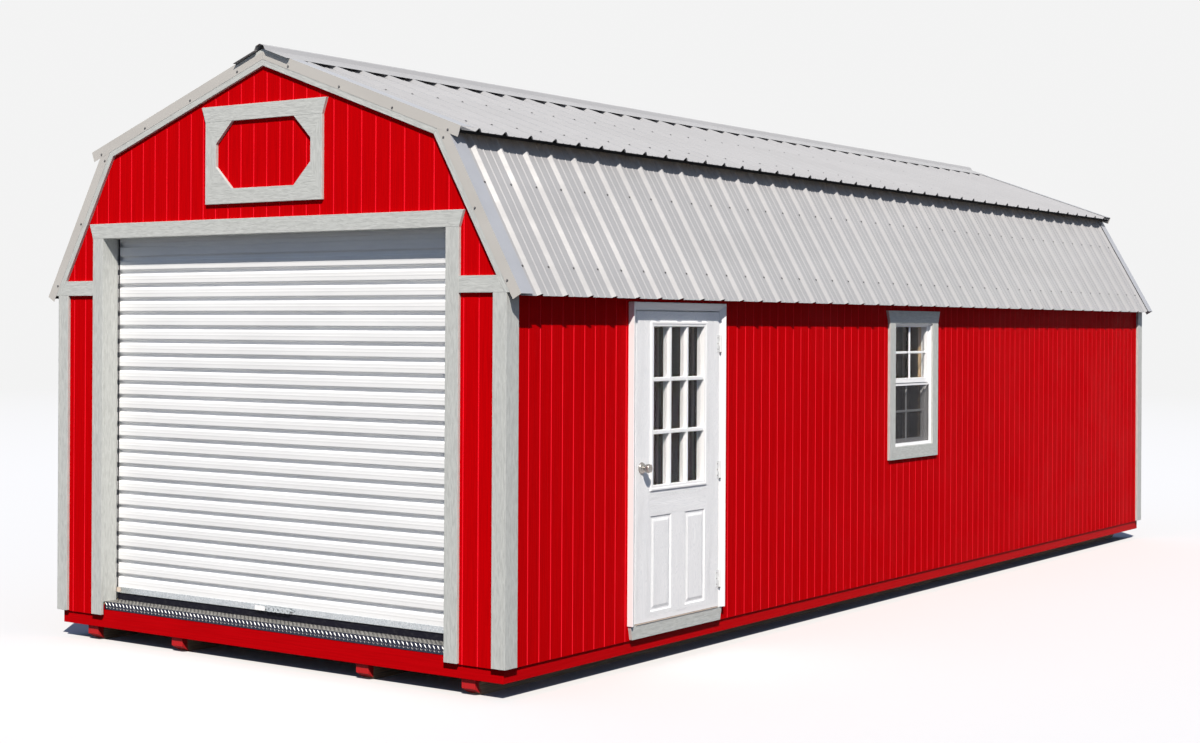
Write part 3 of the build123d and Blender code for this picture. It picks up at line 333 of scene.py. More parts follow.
def grained(name, colour, roughness, shine, depth, darken, along, across):
    """Painted board with wood grain pressed into it, along its grain layer."""
    made = Finish(name, colour, roughness, shine=shine)
    fine = made.noise((along, across, 1), GRAIN, detail=6, distortion=0.8)
    broad = made.noise((1.2, 22, 1), GRAIN, detail=3, distortion=1.2)
    height = made.maths("ADD", fine, made.maths("MULTIPLY", broad, 0.6))
    made.bump(made.spread(height, 0.45, 1.1), depth)
    worn = made.spread(fine, 0.35, 0.62)
    made.paint(made.mixed(worn, shade(colour, darken), shade(colour, 1.03)))
    return made


def siding_red():
    made = grained("siding_red", (0.55, 0.0004, 0.0022), 0.5, shine=0.008, depth=0.0008, darken=0.86,
                   along=3.0, across=120.0)
    made.rough(made.spread(made.noise((2, 2, 2)), 0.3, 0.7, 0.44, 0.58))
    return made.material


def frame_red():
    made = Finish("frame_red", (0.52, 0.0006, 0.003), 0.45, shine=0.02)
    grain = made.noise((3, 110, 1), GRAIN, detail=5, distortion=0.5)
    made.bump(grain, 0.0005)
    made.paint(made.mixed(made.spread(grain, 0.35, 0.65), (0.46, 0.0006, 0.0025), (0.54, 0.001, 0.0035)))
    return made.material


def skid_wood():
    """Treated lumber with the frame's red paint on its ends, ragged where it stops."""
    made = Finish("skid_wood", (0.47, 0.33, 0.2), 0.75)
    grain = made.noise((4, 120, 1), GRAIN, detail=5, distortion=0.6)
    made.bump(grain, 0.0008)
    bare = made.mixed(made.spread(grain, 0.35, 0.65), (0.30, 0.20, 0.115), (0.52, 0.37, 0.23))
    ragged = made.maths("MULTIPLY", made.noise((14, 14, 14), detail=3), 0.07)
    painted = made.spread(made.maths("ADD", made.reach("Object", "Y"), ragged), 4.775, 4.79)
    made.paint(made.mixed(painted, bare, (0.48, 0.002, 0.005)))
    return made.material


def bare_lumber():
    made = Finish("bare_lumber", (0.66, 0.47, 0.28), 0.7)
    rings = made.noise((0.8, 45, 1), GRAIN, detail=4, distortion=1.5)
    fine = made.noise((6, 260, 1), GRAIN, detail=3)
    tone = made.mixed(made.spread(rings, 0.3, 0.7), (0.72, 0.53, 0.33), (0.52, 0.34, 0.18))
    made.paint(made.mixed(made.spread(fine, 0.3, 0.7, 0.0, 0.35), tone, (0.78, 0.62, 0.42)))
    made.bump(fine, 0.0004)
    return made.material


def strand_board():
    made = Finish("strand_board", (0.60, 0.44, 0.26), 0.72)
    chip, height = made.cells((34, 9, 34), turn=(0.2, 0.1, 0.5))
    tone = made.mixed(chip, (0.44, 0.29, 0.15), (0.74, 0.57, 0.36))
    speck = made.noise((180, 180, 180))
    made.paint(made.mixed(made.spread(speck, 0.4, 0.7, 0.0, 0.35), tone, (0.36, 0.23, 0.12)))
    made.bump(height, 0.0006)
    return made.material


def sheet_steel(name, colour, roughness, shine):
    """Baked paint on rolled steel sheet, never quite flat."""
    made = Finish(name, colour, roughness, shine=shine)
    waves = made.noise((0.9, 2.2, 2.2), detail=2)
    made.bump(waves, 0.004, 0.35)
    peel = made.noise((700, 700, 700), detail=1)
    made.bump(peel, 0.00006)
    dust = made.noise((1.6, 0.8, 5), detail=5, roughness=0.6)
    made.paint(made.mixed(made.spread(dust, 0.3, 0.75), shade(colour, 1.02), shade(colour, 0.93)))
    made.rough(made.spread(dust, 0.3, 0.75, roughness - 0.05, roughness + 0.1))
    return made.material


def edge_steel():
    """Flashing paint with painted light: warmer on the legs that stand upright on the gables, as if in sun,
    and cooler and bluish on the roof legs, as if lit by the sky.
    """
    made = Finish("flashing_steel", (0.42, 0.42, 0.44), 0.36, shine=0.3)
    upright = made.spread(made.reach("Normal", "Y"), 0.6, 0.8)
    streaks = made.noise((1.5, 5, 5), detail=4)
    sky_tinted_roof_leg = made.mixed(made.spread(streaks, 0.3, 0.75), (0.385, 0.40, 0.44), (0.34, 0.355, 0.39))
    sun_tinted_upright_leg = made.mixed(made.spread(streaks, 0.3, 0.75), (0.55, 0.53, 0.50), (0.50, 0.48, 0.45))
    # Painted light: the roof legs get the cool sky tint and the upright legs the warm sun tint.
    made.paint(made.mixed(upright, sky_tinted_roof_leg, sun_tinted_upright_leg))
    made.bump(made.noise((3, 9, 9), detail=2), 0.002, 0.4)
    return made.material


def galvanised_steel():
    made = Finish("galvanised_steel", (0.60, 0.63, 0.65), 0.36, metallic=0.9)
    tone, dulled = made.cells((150, 150, 150))
    made.paint(made.mixed(tone, (0.50, 0.54, 0.57), (0.70, 0.73, 0.75)))
    made.rough(made.spread(dulled, 0.0, 1.0, 0.26, 0.48))
    return made.material


def bright_plate(name, colour, worn, lip=None):
    """Rolled aluminium with scuffs; lip, if given, is a painted dark reflection: the colour of faces that
    turn to the front.
    """
    made = Finish(name, colour, 0.3, metallic=0.85, shine=0.3)
    scuff = made.noise((30, 220, 220), detail=5)
    made.rough(made.spread(scuff, 0.3, 0.7, 0.24, 0.5))
    grime = made.noise((9, 40, 40), detail=4)
    tone = made.mixed(made.spread(grime, 0.45, 0.75), colour, worn)
    # Painted dark reflection: faces that turn to the front take the lip colour.
    if lip:
        tone = made.mixed(made.spread(made.reach("Normal", "Y"), 0.6, 0.8), tone, lip)
    made.paint(tone)
    return made.material


def mottled(name, colour, roughness, scale, detail, levels, tones, shine=0.5, relief=0.0):
    """A dull finish in two tones; levels are the noise where the first ends and the second begins."""
    made = Finish(name, colour, roughness, shine=shine)
    spots = made.noise(scale, detail=detail)
    made.paint(made.mixed(made.spread(spots, *levels), *tones))
    if relief:
        made.bump(spots, relief)
    return made.material


def door_skin():
    """White skin pressed with an open wood grain."""
    made = Finish("door_skin", (0.93, 0.93, 0.94), 0.42, shine=0.35)
    swirl = made.noise((0.9, 9, 1), GRAIN, detail=2, distortion=2.5)
    lines = made.maths("PINGPONG", made.maths("MULTIPLY", swirl, 60.0), 1.0)
    made.bump(lines, 0.0005)
    made.paint(made.mixed(made.spread(lines, 0.0, 0.5), (0.84, 0.85, 0.87), (0.95, 0.95, 0.96)))
    return made.material


def smooth_paint(name, colour=(0.93, 0.93, 0.94), roughness=0.35):
    made = Finish(name, colour, roughness, shine=0.35)
    waves = made.noise((3, 3, 3), detail=3)
    made.paint(made.mixed(made.spread(waves, 0.3, 0.7), shade(colour, 0.97), shade(colour, 1.01)))
    made.bump(made.noise((60, 60, 60), detail=2), 0.0002)
    return made.material


def insect_screen():
    """Fine dark mesh that lets about half of the light through."""
    made = Finish("insect_screen", (0.05, 0.05, 0.055), 0.7, shine=0.1)
    made.shader.inputs["Alpha"].default_value = 0.42
    wires = made.noise((900, 900, 900), detail=1)
    made.paint(made.mixed(wires, (0.035, 0.035, 0.04), (0.07, 0.07, 0.075)))
    return made.material


def closure_foam_painted_shade():
    """Near-black foam that fills the ribs along a sheet's lower edge: painted shade for the dark hollow rib
    ends and the eave's shade.
    """
    made = Finish("closure_foam_painted_shade", (0.012, 0.012, 0.013), 0.9, shine=0.1)
    pores = made.noise((500, 500, 500), detail=2)
    made.bump(pores, 0.0004)
    return made.material


def satin_nickel():
    made = Finish("satin_nickel", (0.36, 0.34, 0.32), 0.3, metallic=1.0)
    brushed = made.noise((300, 40, 300), detail=3)
    made.rough(made.spread(brushed, 0.3, 0.7, 0.22, 0.34))
    return made.material


def window_pane():
    """Thin clear glass: most light passes straight through."""
    made = Finish("window_pane", (0.95, 0.975, 0.965), 0.0, ior=1.45)
    made.shader.inputs["Transmission Weight"].default_value = 1.0
    made.shader.inputs["Alpha"].default_value = 0.05
    film = made.noise((5, 5, 9), detail=3)
    made.rough(made.spread(film, 0.45, 0.8, 0.0, 0.05))
    return made.material


finishes = {
    "red_siding": siding_red(),
    "red_frame": frame_red(),
    "grey_trim": grained("trim_grey", (0.565, 0.58, 0.56), 0.55, shine=0.15, depth=0.0013, darken=0.84,
                         along=16.0, across=90.0).material,
    "lumber": bare_lumber(),
    "deck_board": strand_board(),
    "roof_steel": sheet_steel("roof_steel", (0.385, 0.385, 0.395), 0.36, 0.2),
    "flashing_steel": edge_steel(),
    "white_curtain": sheet_steel("white_curtain", (0.88, 0.885, 0.89), 0.4, 0.08),
    "galvanised": galvanised_steel(),
    # The tread plate's lip colour is a painted dark reflection on its front faces.
    "tread_plate": bright_plate("tread_plate", (0.40, 0.39, 0.37), (0.27, 0.26, 0.24),
                                lip=(0.035, 0.04, 0.065)),
    "seal_rubber": mottled("black_rubber", (0.012, 0.012, 0.02), 0.7, (40, 90, 90), 4, (0.5, 0.8),
                           ((0.009, 0.009, 0.016), (0.03, 0.03, 0.035)), shine=0.1, relief=0.0005),
    "door_white": door_skin(),
    "hinge_white": smooth_paint("hinge_white", (0.74, 0.75, 0.76)),
    "lever_nickel": satin_nickel(),
    "sill_metal": bright_plate("sill_metal", (0.55, 0.55, 0.55), (0.40, 0.38, 0.35)),
    "window_vinyl": smooth_paint("window_vinyl"),
    "clear_glass": window_pane(),
}
plain_white = smooth_paint("plain_white")
beige_clip = smooth_paint("beige_clip", (0.62, 0.52, 0.44), 0.5)
# Near-black finish of the eave strips and rib foam: painted shade.
foam = closure_foam_painted_shade()
# A lighter copy of the tread plate's finish: a painted highlight on the large lozenges of the lip.
tread_painted_highlight = bright_plate("tread_painted_highlight", (0.78, 0.79, 0.80), (0.60, 0.60, 0.60))
skid_finish = skid_wood()
# The siding's grooves get a smoother, shinier finish than its face, in a lighter red that is a painted
# highlight for the sun catching the grooves; the backs are bare.
groove_painted_highlight = grained("groove_red_painted_highlight", (0.80, 0.010, 0.024), 0.3, shine=0.12, depth=0.0004, darken=0.9,
                        along=4.0, across=90.0).material
back_finish = mottled("board_back", (0.24, 0.16, 0.10), 0.8, (30, 30, 9), 5, (0.3, 0.7),
                      ((0.19, 0.12, 0.07), (0.30, 0.21, 0.13)), shine=0.1, relief=0.0006)
screw_finish = mottled("screw_paint", (0.10, 0.10, 0.105), 0.5, (260, 260, 260), 2, (0.35, 0.65),
                       ((0.05, 0.05, 0.055), (0.16, 0.16, 0.165)))
slots = {entry["node"]: entry["material_slot"] for entry in frame["record"]["subparts"]}
for name, node in nodes.items():
    node.data.materials.clear()
    node.data.materials.append(finishes[slots[name]])

# Boards and lumber: grain along each one, and eased edges
BOARDS = ("rake_boards", "corner_boards", "band_boards", "header_boards", "garage_casings",
          "garage_jambs", "sill_board")
LUMBER = ("skids", "rim_joists", "floor_joists", "wall_plates", "wall_studs", "garage_header",
          "rafters", "ridge_board")
TRIM_WIDE = 3.5 * INCH
for name in BOARDS + LUMBER:
    lay_grain(nodes[name])
nodes["skids"].data.materials[0] = skid_finish


def casing_grain(middle):
    """Upright beside the window, level under it."""
    low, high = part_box("window_frame")
    return (0, 0, 1) if not low.y < middle.y < high.y else (0, 1, 0)


def octagon_grain(middle):
    """Upright in the octagon's upright boards, else level."""
    low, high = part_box("gable_frame")
    reach = (high.x - low.x) / 2
    return (0, 0, 1) if abs(middle.x) > reach - TRIM_WIDE else (1, 0, 0)


lay_grain(nodes["window_casing"], casing_grain)
lay_grain(nodes["gable_frame"], octagon_grain)
for name in BOARDS + ("rim_joists", "skids", "window_casing", "gable_frame"):
    bevelled(nodes[name])
bevelled(nodes["rollup_bottom_bar"], width=0.0015)


# Grooved siding
def groove_profile(start, finish, first):
    """Places and depths along a wall: flats with a groove every pitch."""
    points = [(start, 0.0)]
    middle = first + math.ceil((start + GROOVE_HALF - first) / GROOVE_PITCH) * GROOVE_PITCH
    while middle + GROOVE_HALF < finish:
        points += [(middle - GROOVE_HALF, 0.0), (middle - GROOVE_FLOOR, GROOVE_DEPTH),
                   (middle + GROOVE_FLOOR, GROOVE_DEPTH), (middle + GROOVE_HALF, 0.0)]
        middle += GROOVE_PITCH
    points.append((finish, 0.0))
    return points


def grooved(shape, points, thickness, place, low, high):
    """A strip of siding; place turns (along, depth, height) into a point."""
    for (a, depth_a), (b, depth_b) in zip(points, points[1:]):
        corners = [place(u, d, z) for u, depth in ((a, depth_a), (b, depth_b))
                   for d in (depth, thickness) for z in (low(u), high(u))]
        faces = [(2, 6, 7, 3), (1, 3, 7, 5), (0, 4, 6, 2)]
        if (a, depth_a) == points[0]:
            faces.append((0, 2, 3, 1))
        if (b, depth_b) == points[-1]:
            faces.append((4, 5, 7, 6))
        start = len(shape.points)
        shape.add(corners, faces)
        shape.finish[-len(faces)] = PANEL_BACK
        shape.faces.append([start, start + 1, start + 5, start + 4])
        shape.finish.append(PANEL_GROOVE if depth_a + depth_b > 0 else 0)


left_low, left_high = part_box("left_siding")
wall_bottom, wall_top = left_low.z, left_high.z
thickness = left_high.x - left_low.x
half_width = -left_low.x
front_y, back_y = left_low.y, left_high.y
first_side = front_y + FIRST_SIDE_GROOVE


def siding(name, node, strips, place, first):
    """Strips hold (start, finish, low, high), where low and high give heights along the wall."""
    shape = Shape()
    for start, finish, low, high in strips:
        grooved(shape, groove_profile(start, finish, first), thickness, place, low, high)
    # Groove faces take the lighter red with its painted highlight; back faces take the bare board.
    made = piece(name, shape, "red_siding", stands_for=[node],
                 finish=[finishes["red_siding"], groove_painted_highlight, back_finish])
    outward(made.data, WELD)
    lay_grain(made, lambda middle: (0, 0, 1))


def level(height):
    return lambda u: height


def on_wall(face, inward, along_y):
    """Turns (along, depth, height) on a wall into a point."""
    def place(u, depth, z):
        sheet = face + inward * depth
        return (sheet, u, z) if along_y else (u, sheet, z)

    return place


on_left, on_right = on_wall(-half_width, 1, True), on_wall(half_width, -1, True)
on_front, on_back = on_wall(front_y, 1, False), on_wall(back_y, -1, False)
full = (level(wall_bottom), level(wall_top))
siding("left_siding_panels", "left_siding", [(front_y, back_y, *full)], on_left, first_side)
before_low, before_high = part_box("right_siding_front")
siding("right_siding_front_panels", "right_siding_front", [(before_low.y, before_high.y, *full)],
       on_right, first_side)
door_low, door_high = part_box("right_siding_at_door")
frame_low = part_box("door_jambs")[0]
# The panel over the doorway starts at the lowest level above the jambs' feet.
panel_levels = {round(v.co.z, 5) for v in nodes["right_siding_at_door"].data.vertices}
door_top = min(z for z in panel_levels if z > frame_low.z)
siding("right_siding_at_door_panels", "right_siding_at_door",
       [(door_low.y, door_high.y, level(wall_bottom), level(frame_low.z)),
        (door_low.y, door_high.y, level(door_top), level(wall_top))], on_right, first_side)
back_low, back_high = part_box("right_siding_back")
window_low, window_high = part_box("window_frame")
siding("right_siding_back_panels", "right_siding_back",
       [(back_low.y, window_low.y, *full),
        (window_low.y, window_high.y, level(wall_bottom), level(window_low.z)),
        (window_low.y, window_high.y, level(window_high.z), level(wall_top)),
        (window_high.y, back_high.y, *full)], on_right, first_side)

gable_low, gable_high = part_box("front_gable_siding")
gable_x, gable_bottom, gable_peak = gable_high.x, gable_low.z, gable_high.z
knee_x = ((gable_peak - gable_bottom - gable_x * math.tan(LOWER_PITCH))
          / (math.tan(UPPER_PITCH) - math.tan(LOWER_PITCH)))
wall_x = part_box("front_siding")[1].x
opening_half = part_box("garage_jambs")[1].x


def gable_top(x):
    """Height of the gable siding's edge under the roof deck."""
    return min(gable_peak - abs(x) * math.tan(UPPER_PITCH),
               gable_bottom + (gable_x - abs(x)) * math.tan(LOWER_PITCH))


def strip_top(x):
    """The same, beside the doorway, where the gable siding stands on the strips."""
    return min(gable_top(x), gable_bottom)


def under_roof(reach, bottom):
    """Strips from side to side up to the roof, split where its slope changes."""
    edges = (-reach, -knee_x, 0.0, knee_x, reach)
    return [(a, b, level(bottom), gable_top) for a, b in zip(edges, edges[1:])]


siding("front_siding_panels", "front_siding",
       [(-wall_x, -opening_half, level(wall_bottom), strip_top),
        (opening_half, wall_x, level(wall_bottom), strip_top)], on_front, FRONT_GROOVE_SHIFT)
siding("front_gable_panels", "front_gable_siding", under_roof(gable_x, gable_bottom), on_front,
       FRONT_GROOVE_SHIFT)
siding("back_siding_panels", "back_siding", under_roof(wall_x, wall_bottom), on_back, FRONT_GROOVE_SHIFT)


# Roof sheets with ribs and stiffening beads
CLOSURE_SET = 0.4 * INCH  # foam's face behind the sheet's lower edge
DRIP_RISE = 0.7 * INCH  # black strip over the deck's edge, painted shade for the dark line under the sheet: its middle above the sheet's foot
DRIP_WIDE = 0.3 * INCH
DRIP_DEPTH = 0.75 * INCH
WASHER_R = 0.0075
SCREW_R = 0.0045
SCREW_BESIDE = 0.45 * INCH  # screw beside its rib
SCREW_STOP = 2.0 * INCH  # no row of screws nearer than this to the sheet's upper edge
SCREW_ROWS = {"upper": (10 * INCH, 24 * INCH), "lower": (7 * INCH, 20 * INCH)}  # first row, spacing
FLASHING_SCREWS = {"lower": (4, 21, 38), "upper": (3, 19, 35, 51)}  # inches up the slope
FLASH_SCREW_IN = 1.75 * INCH  # screws below the rib tops' plane
PITCHES = {"upper": UPPER_PITCH, "lower": LOWER_PITCH}
SIDES = ((-1, "left"), (1, "right"))


def kind_of(node):
    return "upper" if "upper" in node else "lower"


def rib_places(node):
    """Middles of a sheet's ribs along the building."""
    low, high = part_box(node)
    first = low.y + FIRST_RIB[kind_of(node)]
    return [first + n * RIB_PITCH for n in range(int((high.y - first - RIB_BASE / 2) // RIB_PITCH) + 1)]


def rib_section(y):
    """The rib with its middle at y: (place, height above the deck)."""
    return [(y - RIB_BASE / 2, 0.0), (y - RIB_CROWN / 2, RIB_HEIGHT),
            (y + RIB_CROWN / 2, RIB_HEIGHT), (y + RIB_BASE / 2, 0.0)]


def sheet_profile(node):
    """Section along the building: (place, height above the deck)."""
    low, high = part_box(node)
    places = rib_places(node)
    points = [(low.y, 0.0)]
    for y in places:
        points += rib_section(y)
        if y < places[-1]:
            for shift in BEAD_PLACES:
                bead = y + shift
                points += [(bead - BEAD_HALF, 0.0), (bead - BEAD_HALF / 3, BEAD_HEIGHT),
                           (bead + BEAD_HALF / 3, BEAD_HEIGHT), (bead + BEAD_HALF, 0.0)]
    points.append((high.y, 0.0))
    return points


def slope(node, side):
    """Foot of a roof sheet on the deck's plane, the way up the slope, the way out, and its length."""
    low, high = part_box(node)
    pitch = PITCHES[kind_of(node)]
    far_x = max(abs(low.x), abs(high.x)) - RIB_TOP * math.sin(pitch)
    up = Vector((-side * math.cos(pitch), 0, math.sin(pitch)))
    out = Vector((side * math.sin(pitch), 0, math.cos(pitch)))
    length = (far_x - min(abs(low.x), abs(high.x))) / math.cos(pitch)
    return Vector((side * far_x, 0, low.z)), up, out, length


def roof_sheet(node, side):
    """A ribbed sheet in the place of its CAD node."""
    low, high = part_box(node)
    foot, _, out, _ = slope(node, side)
    near_x = min(abs(low.x), abs(high.x))
    top = Vector((side * near_x, 0, high.z - RIB_TOP * math.cos(PITCHES[kind_of(node)])))
    profile = sheet_profile(node)
    shape = Shape()
    shape.add([end + out * (height + lift) + Vector((0, y, 0)) for y, height in profile
               for end, lift in ((top, SHEET), (foot, SHEET), (foot, 0.0), (top, 0.0))],
              ring_faces(4, len(profile)))
    piece(node + "_sheet", shape, "roof_steel", stands_for=[node])


def closure_shade_strip(node, side):
    """Painted shade along a sheet's lower edge: a black strip over the deck's edge and black foam under the
    ribs, where the eave and the hollow rib ends are dark.
    """
    foot, up, out, _ = slope(node, side)
    low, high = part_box(node)
    shape = Shape()
    start, finish = (foot + up * DRIP_RISE + Vector((0, y, 0)) for y in (low.y, high.y))
    shape.bar(start, finish, -out, DRIP_WIDE, DRIP_DEPTH)
    ends = [foot + up * (CLOSURE_SET + step) for step in (0.0, INCH)]
    for rib in rib_places(node):
        shape.add([end + out * (height - SHEET / 4) + Vector((0, y, 0))
                   for end in ends for y, height in rib_section(rib)], ring_faces(4, 2))
    piece(node + "_closures", shape, "seal_rubber", finish=foam)


def screw_head(shape, place, out):
    """Hexagon head on a round washer."""
    shape.turned([(WASHER_R, -0.0004), (WASHER_R, 0.0012), (SCREW_R, 0.0016), (SCREW_R, 0.0048),
                  (SCREW_R * 0.8, 0.0056)], place, out, sides=6)


def sheet_screws(node, side):
    """Rows of screws in the flats: one beside each rib."""
    foot, up, out, length = slope(node, side)
    rise, spacing = SCREW_ROWS[kind_of(node)]
    shape = Shape()
    while rise < length - SCREW_STOP:
        for rib in rib_places(node):
            y = rib - RIB_BASE / 2 - SCREW_BESIDE
            screw_head(shape, foot + up * rise + out * SHEET + Vector((0, y, 0)), out)
        rise += spacing
    piece(node + "_screws", shape, "roof_steel", finish=screw_finish)


def flashing_screws():
    """Screws in the flashing's front legs, near their inner edge."""
    low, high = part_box("rake_flashing")
    shape = Shape()
    for face, way in ((low.y, -1), (high.y, 1)):
        for side, word in SIDES:
            for kind, runs in FLASHING_SCREWS.items():
                foot, up, out, _ = slope(f"roof_{kind}_{word}", side)
                for run in runs:
                    spot = foot + up * run * INCH + out * (RIB_TOP - FLASH_SCREW_IN)
                    screw_head(shape, (spot.x, face, spot.z), (0, way, 0))
    piece("rake_flashing_screws", shape, "flashing_steel", finish=screw_finish)


for side, word in SIDES:
    for make in (roof_sheet, closure_shade_strip, sheet_screws):
        for kind in PITCHES:
            make(f"roof_{kind}_{word}", side)
flashing_screws()


# Entry door: moulded frame, lite frame and bars
DOOR_CLEAR = 36.0 * INCH
FRAME_OUTER = 19.8 * INCH  # frame's outer edge from the door's middle
FRAME_PROUD = 1.5 * INCH  # frame's outer edge beyond the siding
JAMB_BOARD = 0.75 * INCH  # board behind the moulding
DOOR_STOP = 0.5 * INCH
LITE_WIDE = 1.2 * INCH  # lite frame's moulding, from its outer edge to the glass
LITE_RIM = 1.0 * INCH  # what the leaf reaches under it
LITE_BAR_SLOPE = 0.004
PANEL_RISE = 1.2 * INCH  # moulded panels above the leaf's lower edge
PANEL_REACH = 22.6 * INCH
PANEL_INSET = 0.4 * INCH  # inside the lite frame's outer edges
PANEL_WIDE = 8.6 * INCH
PANEL_MOULD = 1.3 * INCH
leaf_low, leaf_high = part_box("door_leaf")
jamb_low, jamb_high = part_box("door_jambs")
head_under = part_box("door_head")[0].z
door_middle = (jamb_low.y + jamb_high.y) / 2
leaf_middle = (leaf_low.x + leaf_high.x) / 2
leaf_faces = ((leaf_high.x, 1), (leaf_low.x, -1))
frame_reach = FRAME_OUTER - DOOR_CLEAR / 2


def door_surround():
    """One moulding for both jambs and the head: a stop, a step, and a face that slopes to the leaf."""
    back, front = jamb_low.x, leaf_high.x
    gap = (DOOR_CLEAR - (leaf_high.y - leaf_low.y)) / 2
    stop_face = leaf_low.x - gap
    rough = frame_reach - JAMB_BOARD
    stop = frame_reach + DOOR_STOP
    outer = half_width + FRAME_PROUD
    section = [(back, stop), (stop_face, stop), (stop_face, frame_reach), (front, frame_reach),
               (front + 0.0015, frame_reach - 0.3 * INCH), (outer - 0.05 * INCH, 0.35 * INCH),
               (outer, 0.2 * INCH), (outer, 0.0), (half_width, 0.0), (half_width, rough), (back, rough)]
    shape = Shape()
    shape.frame(section, (door_middle - FRAME_OUTER, jamb_low.z),
                (door_middle + FRAME_OUTER, head_under + frame_reach), closed=False)
    made = piece("door_surround", shape, "door_white", "barn", ["door_jambs", "door_head"], plain_white)
    bevelled(made, width=0.0012)


def lite_surround():
    """Moulded rims on both faces of the leaf, and the bars over the glass."""
    low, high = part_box("lite_frame")
    glass_half = (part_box("door_glass")[1].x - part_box("door_glass")[0].x) / 2
    rims, bars = Shape(), Shape()
    inner = LITE_WIDE
    for way in (-1, 1):
        face = leaf_high.x if way > 0 else leaf_low.x
        glass = leaf_middle + way * glass_half
        section = [(0, 0), (0.0065, 0.0014), (0.008, 0.004), (0.008, 0.013), (0.0052, 0.0175),
                   (0.0048, 0.0275)]
        rim = [(face + way * x, inset) for x, inset in section]
        rim += [(glass + way * 0.0003, inner), (glass + way * 0.0003, inner - 0.003),
                (face, inner - 0.0055)]
        rims.frame(rim, (low.y, low.z), (high.y, high.z))
        out, top = (way, 0, 0), abs(face - glass) + 0.001
        for n in (1, 2):
            y, z = (a + inner + (b - a - 2 * inner) * n / 3 for a, b in ((low.y, high.y), (low.z, high.z)))
            bars.bar((glass, y, low.z + inner), (glass, y, high.z - inner), out, INCH, top, LITE_BAR_SLOPE)
            bars.bar((glass, low.y + inner, z), (glass, high.y - inner, z), out, INCH, top - 0.0006,
                     LITE_BAR_SLOPE)
    piece("lite_surround", rims, "door_white", "entry_door", ["lite_frame"], plain_white)
    piece("lite_bars", bars, "door_white", "entry_door", finish=plain_white)


def leaf_panel(shape, low, high):
    """One moulded panel through the leaf: a channel and a raised field on both faces."""
    for face, way in leaf_faces:
        section = [(face - way * drop, inset) for drop, inset in
                   ((0.0, 0.0), (0.0015, 0.0015), (0.006, 0.3 * INCH), (0.006, 0.65 * INCH),
                    (0.0015, PANEL_MOULD - 0.002), (0.001, PANEL_MOULD))]
        shape.frame([(leaf_middle, 0.0)] + section + [(leaf_middle, PANEL_MOULD)], low, high)
    shape.box((leaf_low.x + 0.001, low[0] + PANEL_MOULD, low[1] + PANEL_MOULD),
              (leaf_high.x - 0.001, high[0] - PANEL_MOULD, high[1] - PANEL_MOULD))


def moulded_leaf():
    """The leaf as stiles, rails and two moulded panels below the glass, with the grain along each."""
    rim_low, rim_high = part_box("lite_frame")
    left, right = rim_low.y, rim_high.y
    panel_low, panel_high = leaf_low.z + PANEL_RISE, leaf_low.z + PANEL_REACH
    glass_low, glass_high = rim_low.z + LITE_RIM, rim_high.z - LITE_RIM
    first, last = left + PANEL_INSET, right - PANEL_INSET
    shape = Shape()
    for y_low, y_high, z_low, z_high in (
            (leaf_low.y, left, leaf_low.z, leaf_high.z), (right, leaf_high.y, leaf_low.z, leaf_high.z),
            (left, right, leaf_low.z, panel_low), (left, right, panel_high, glass_low),
            (left, right, glass_high, leaf_high.z), (left, left + LITE_RIM, glass_low, glass_high),
            (right - LITE_RIM, right, glass_low, glass_high), (left, first, panel_low, panel_high),
            (last, right, panel_low, panel_high),
            (first + PANEL_WIDE, last - PANEL_WIDE, panel_low, panel_high)):
        shape.box((leaf_low.x, y_low, z_low), (leaf_high.x, y_high, z_high))
    for y in (first, last - PANEL_WIDE):
        leaf_panel(shape, (y, panel_low), (y + PANEL_WIDE, panel_high))
    made = piece("moulded_leaf", shape, "door_white", "entry_door", ["door_leaf"])

    def grain(middle):
        rail = (left < middle.y < right and not panel_low < middle.z < panel_high
                and not glass_low < middle.z < glass_high)
        return (0, 1, 0) if rail else (0, 0, 1)

    lay_grain(made, grain)


door_surround()
lite_surround()
moulded_leaf()


# Window: frame, two sashes and a half screen
FRAME_STEP = 0.4 * INCH  # frame's face that shows inside the casing
FRAME_REBATE = (0.35 * INCH, 0.4 * INCH)  # depths from which to which the frame steps in
UPPER_SET = 0.85 * INCH  # upper sash's face behind the frame's
LOWER_SET = 0.95 * INCH  # lower sash's face behind the upper one's
UPPER_SASH = 16.7 * INCH  # upper sash's lower edge, from the frame's top
LOWER_SASH = 15.9 * INCH  # lower sash's upper edge, from the frame's top
UPPER_RAILS = (0.6 * INCH, 1.4 * INCH)  # top and bottom
LOWER_RAILS = (1.2 * INCH, 1.5 * INCH)
STILE = 1.15 * INCH
SASH_THICK = 0.9 * INCH
SASH_EDGE = 0.002  # eased edges
WINDOW_BAR = 0.7 * INCH
BAR_PROUD = 0.007
BAR_SLOPE = 0.003
PANE = 0.004
PANE_SET = 0.55  # pane behind the sash's face, as a share of its thickness
SCREEN_TOP = 16.9 * INCH  # from the frame's top
SCREEN_SET = 0.3 * INCH
SCREEN_THICK = 0.007
SCREEN_RIM = 0.5 * INCH
MESH_INSET = 0.45 * INCH
MESH_SET = 0.004
MESH = 0.0004


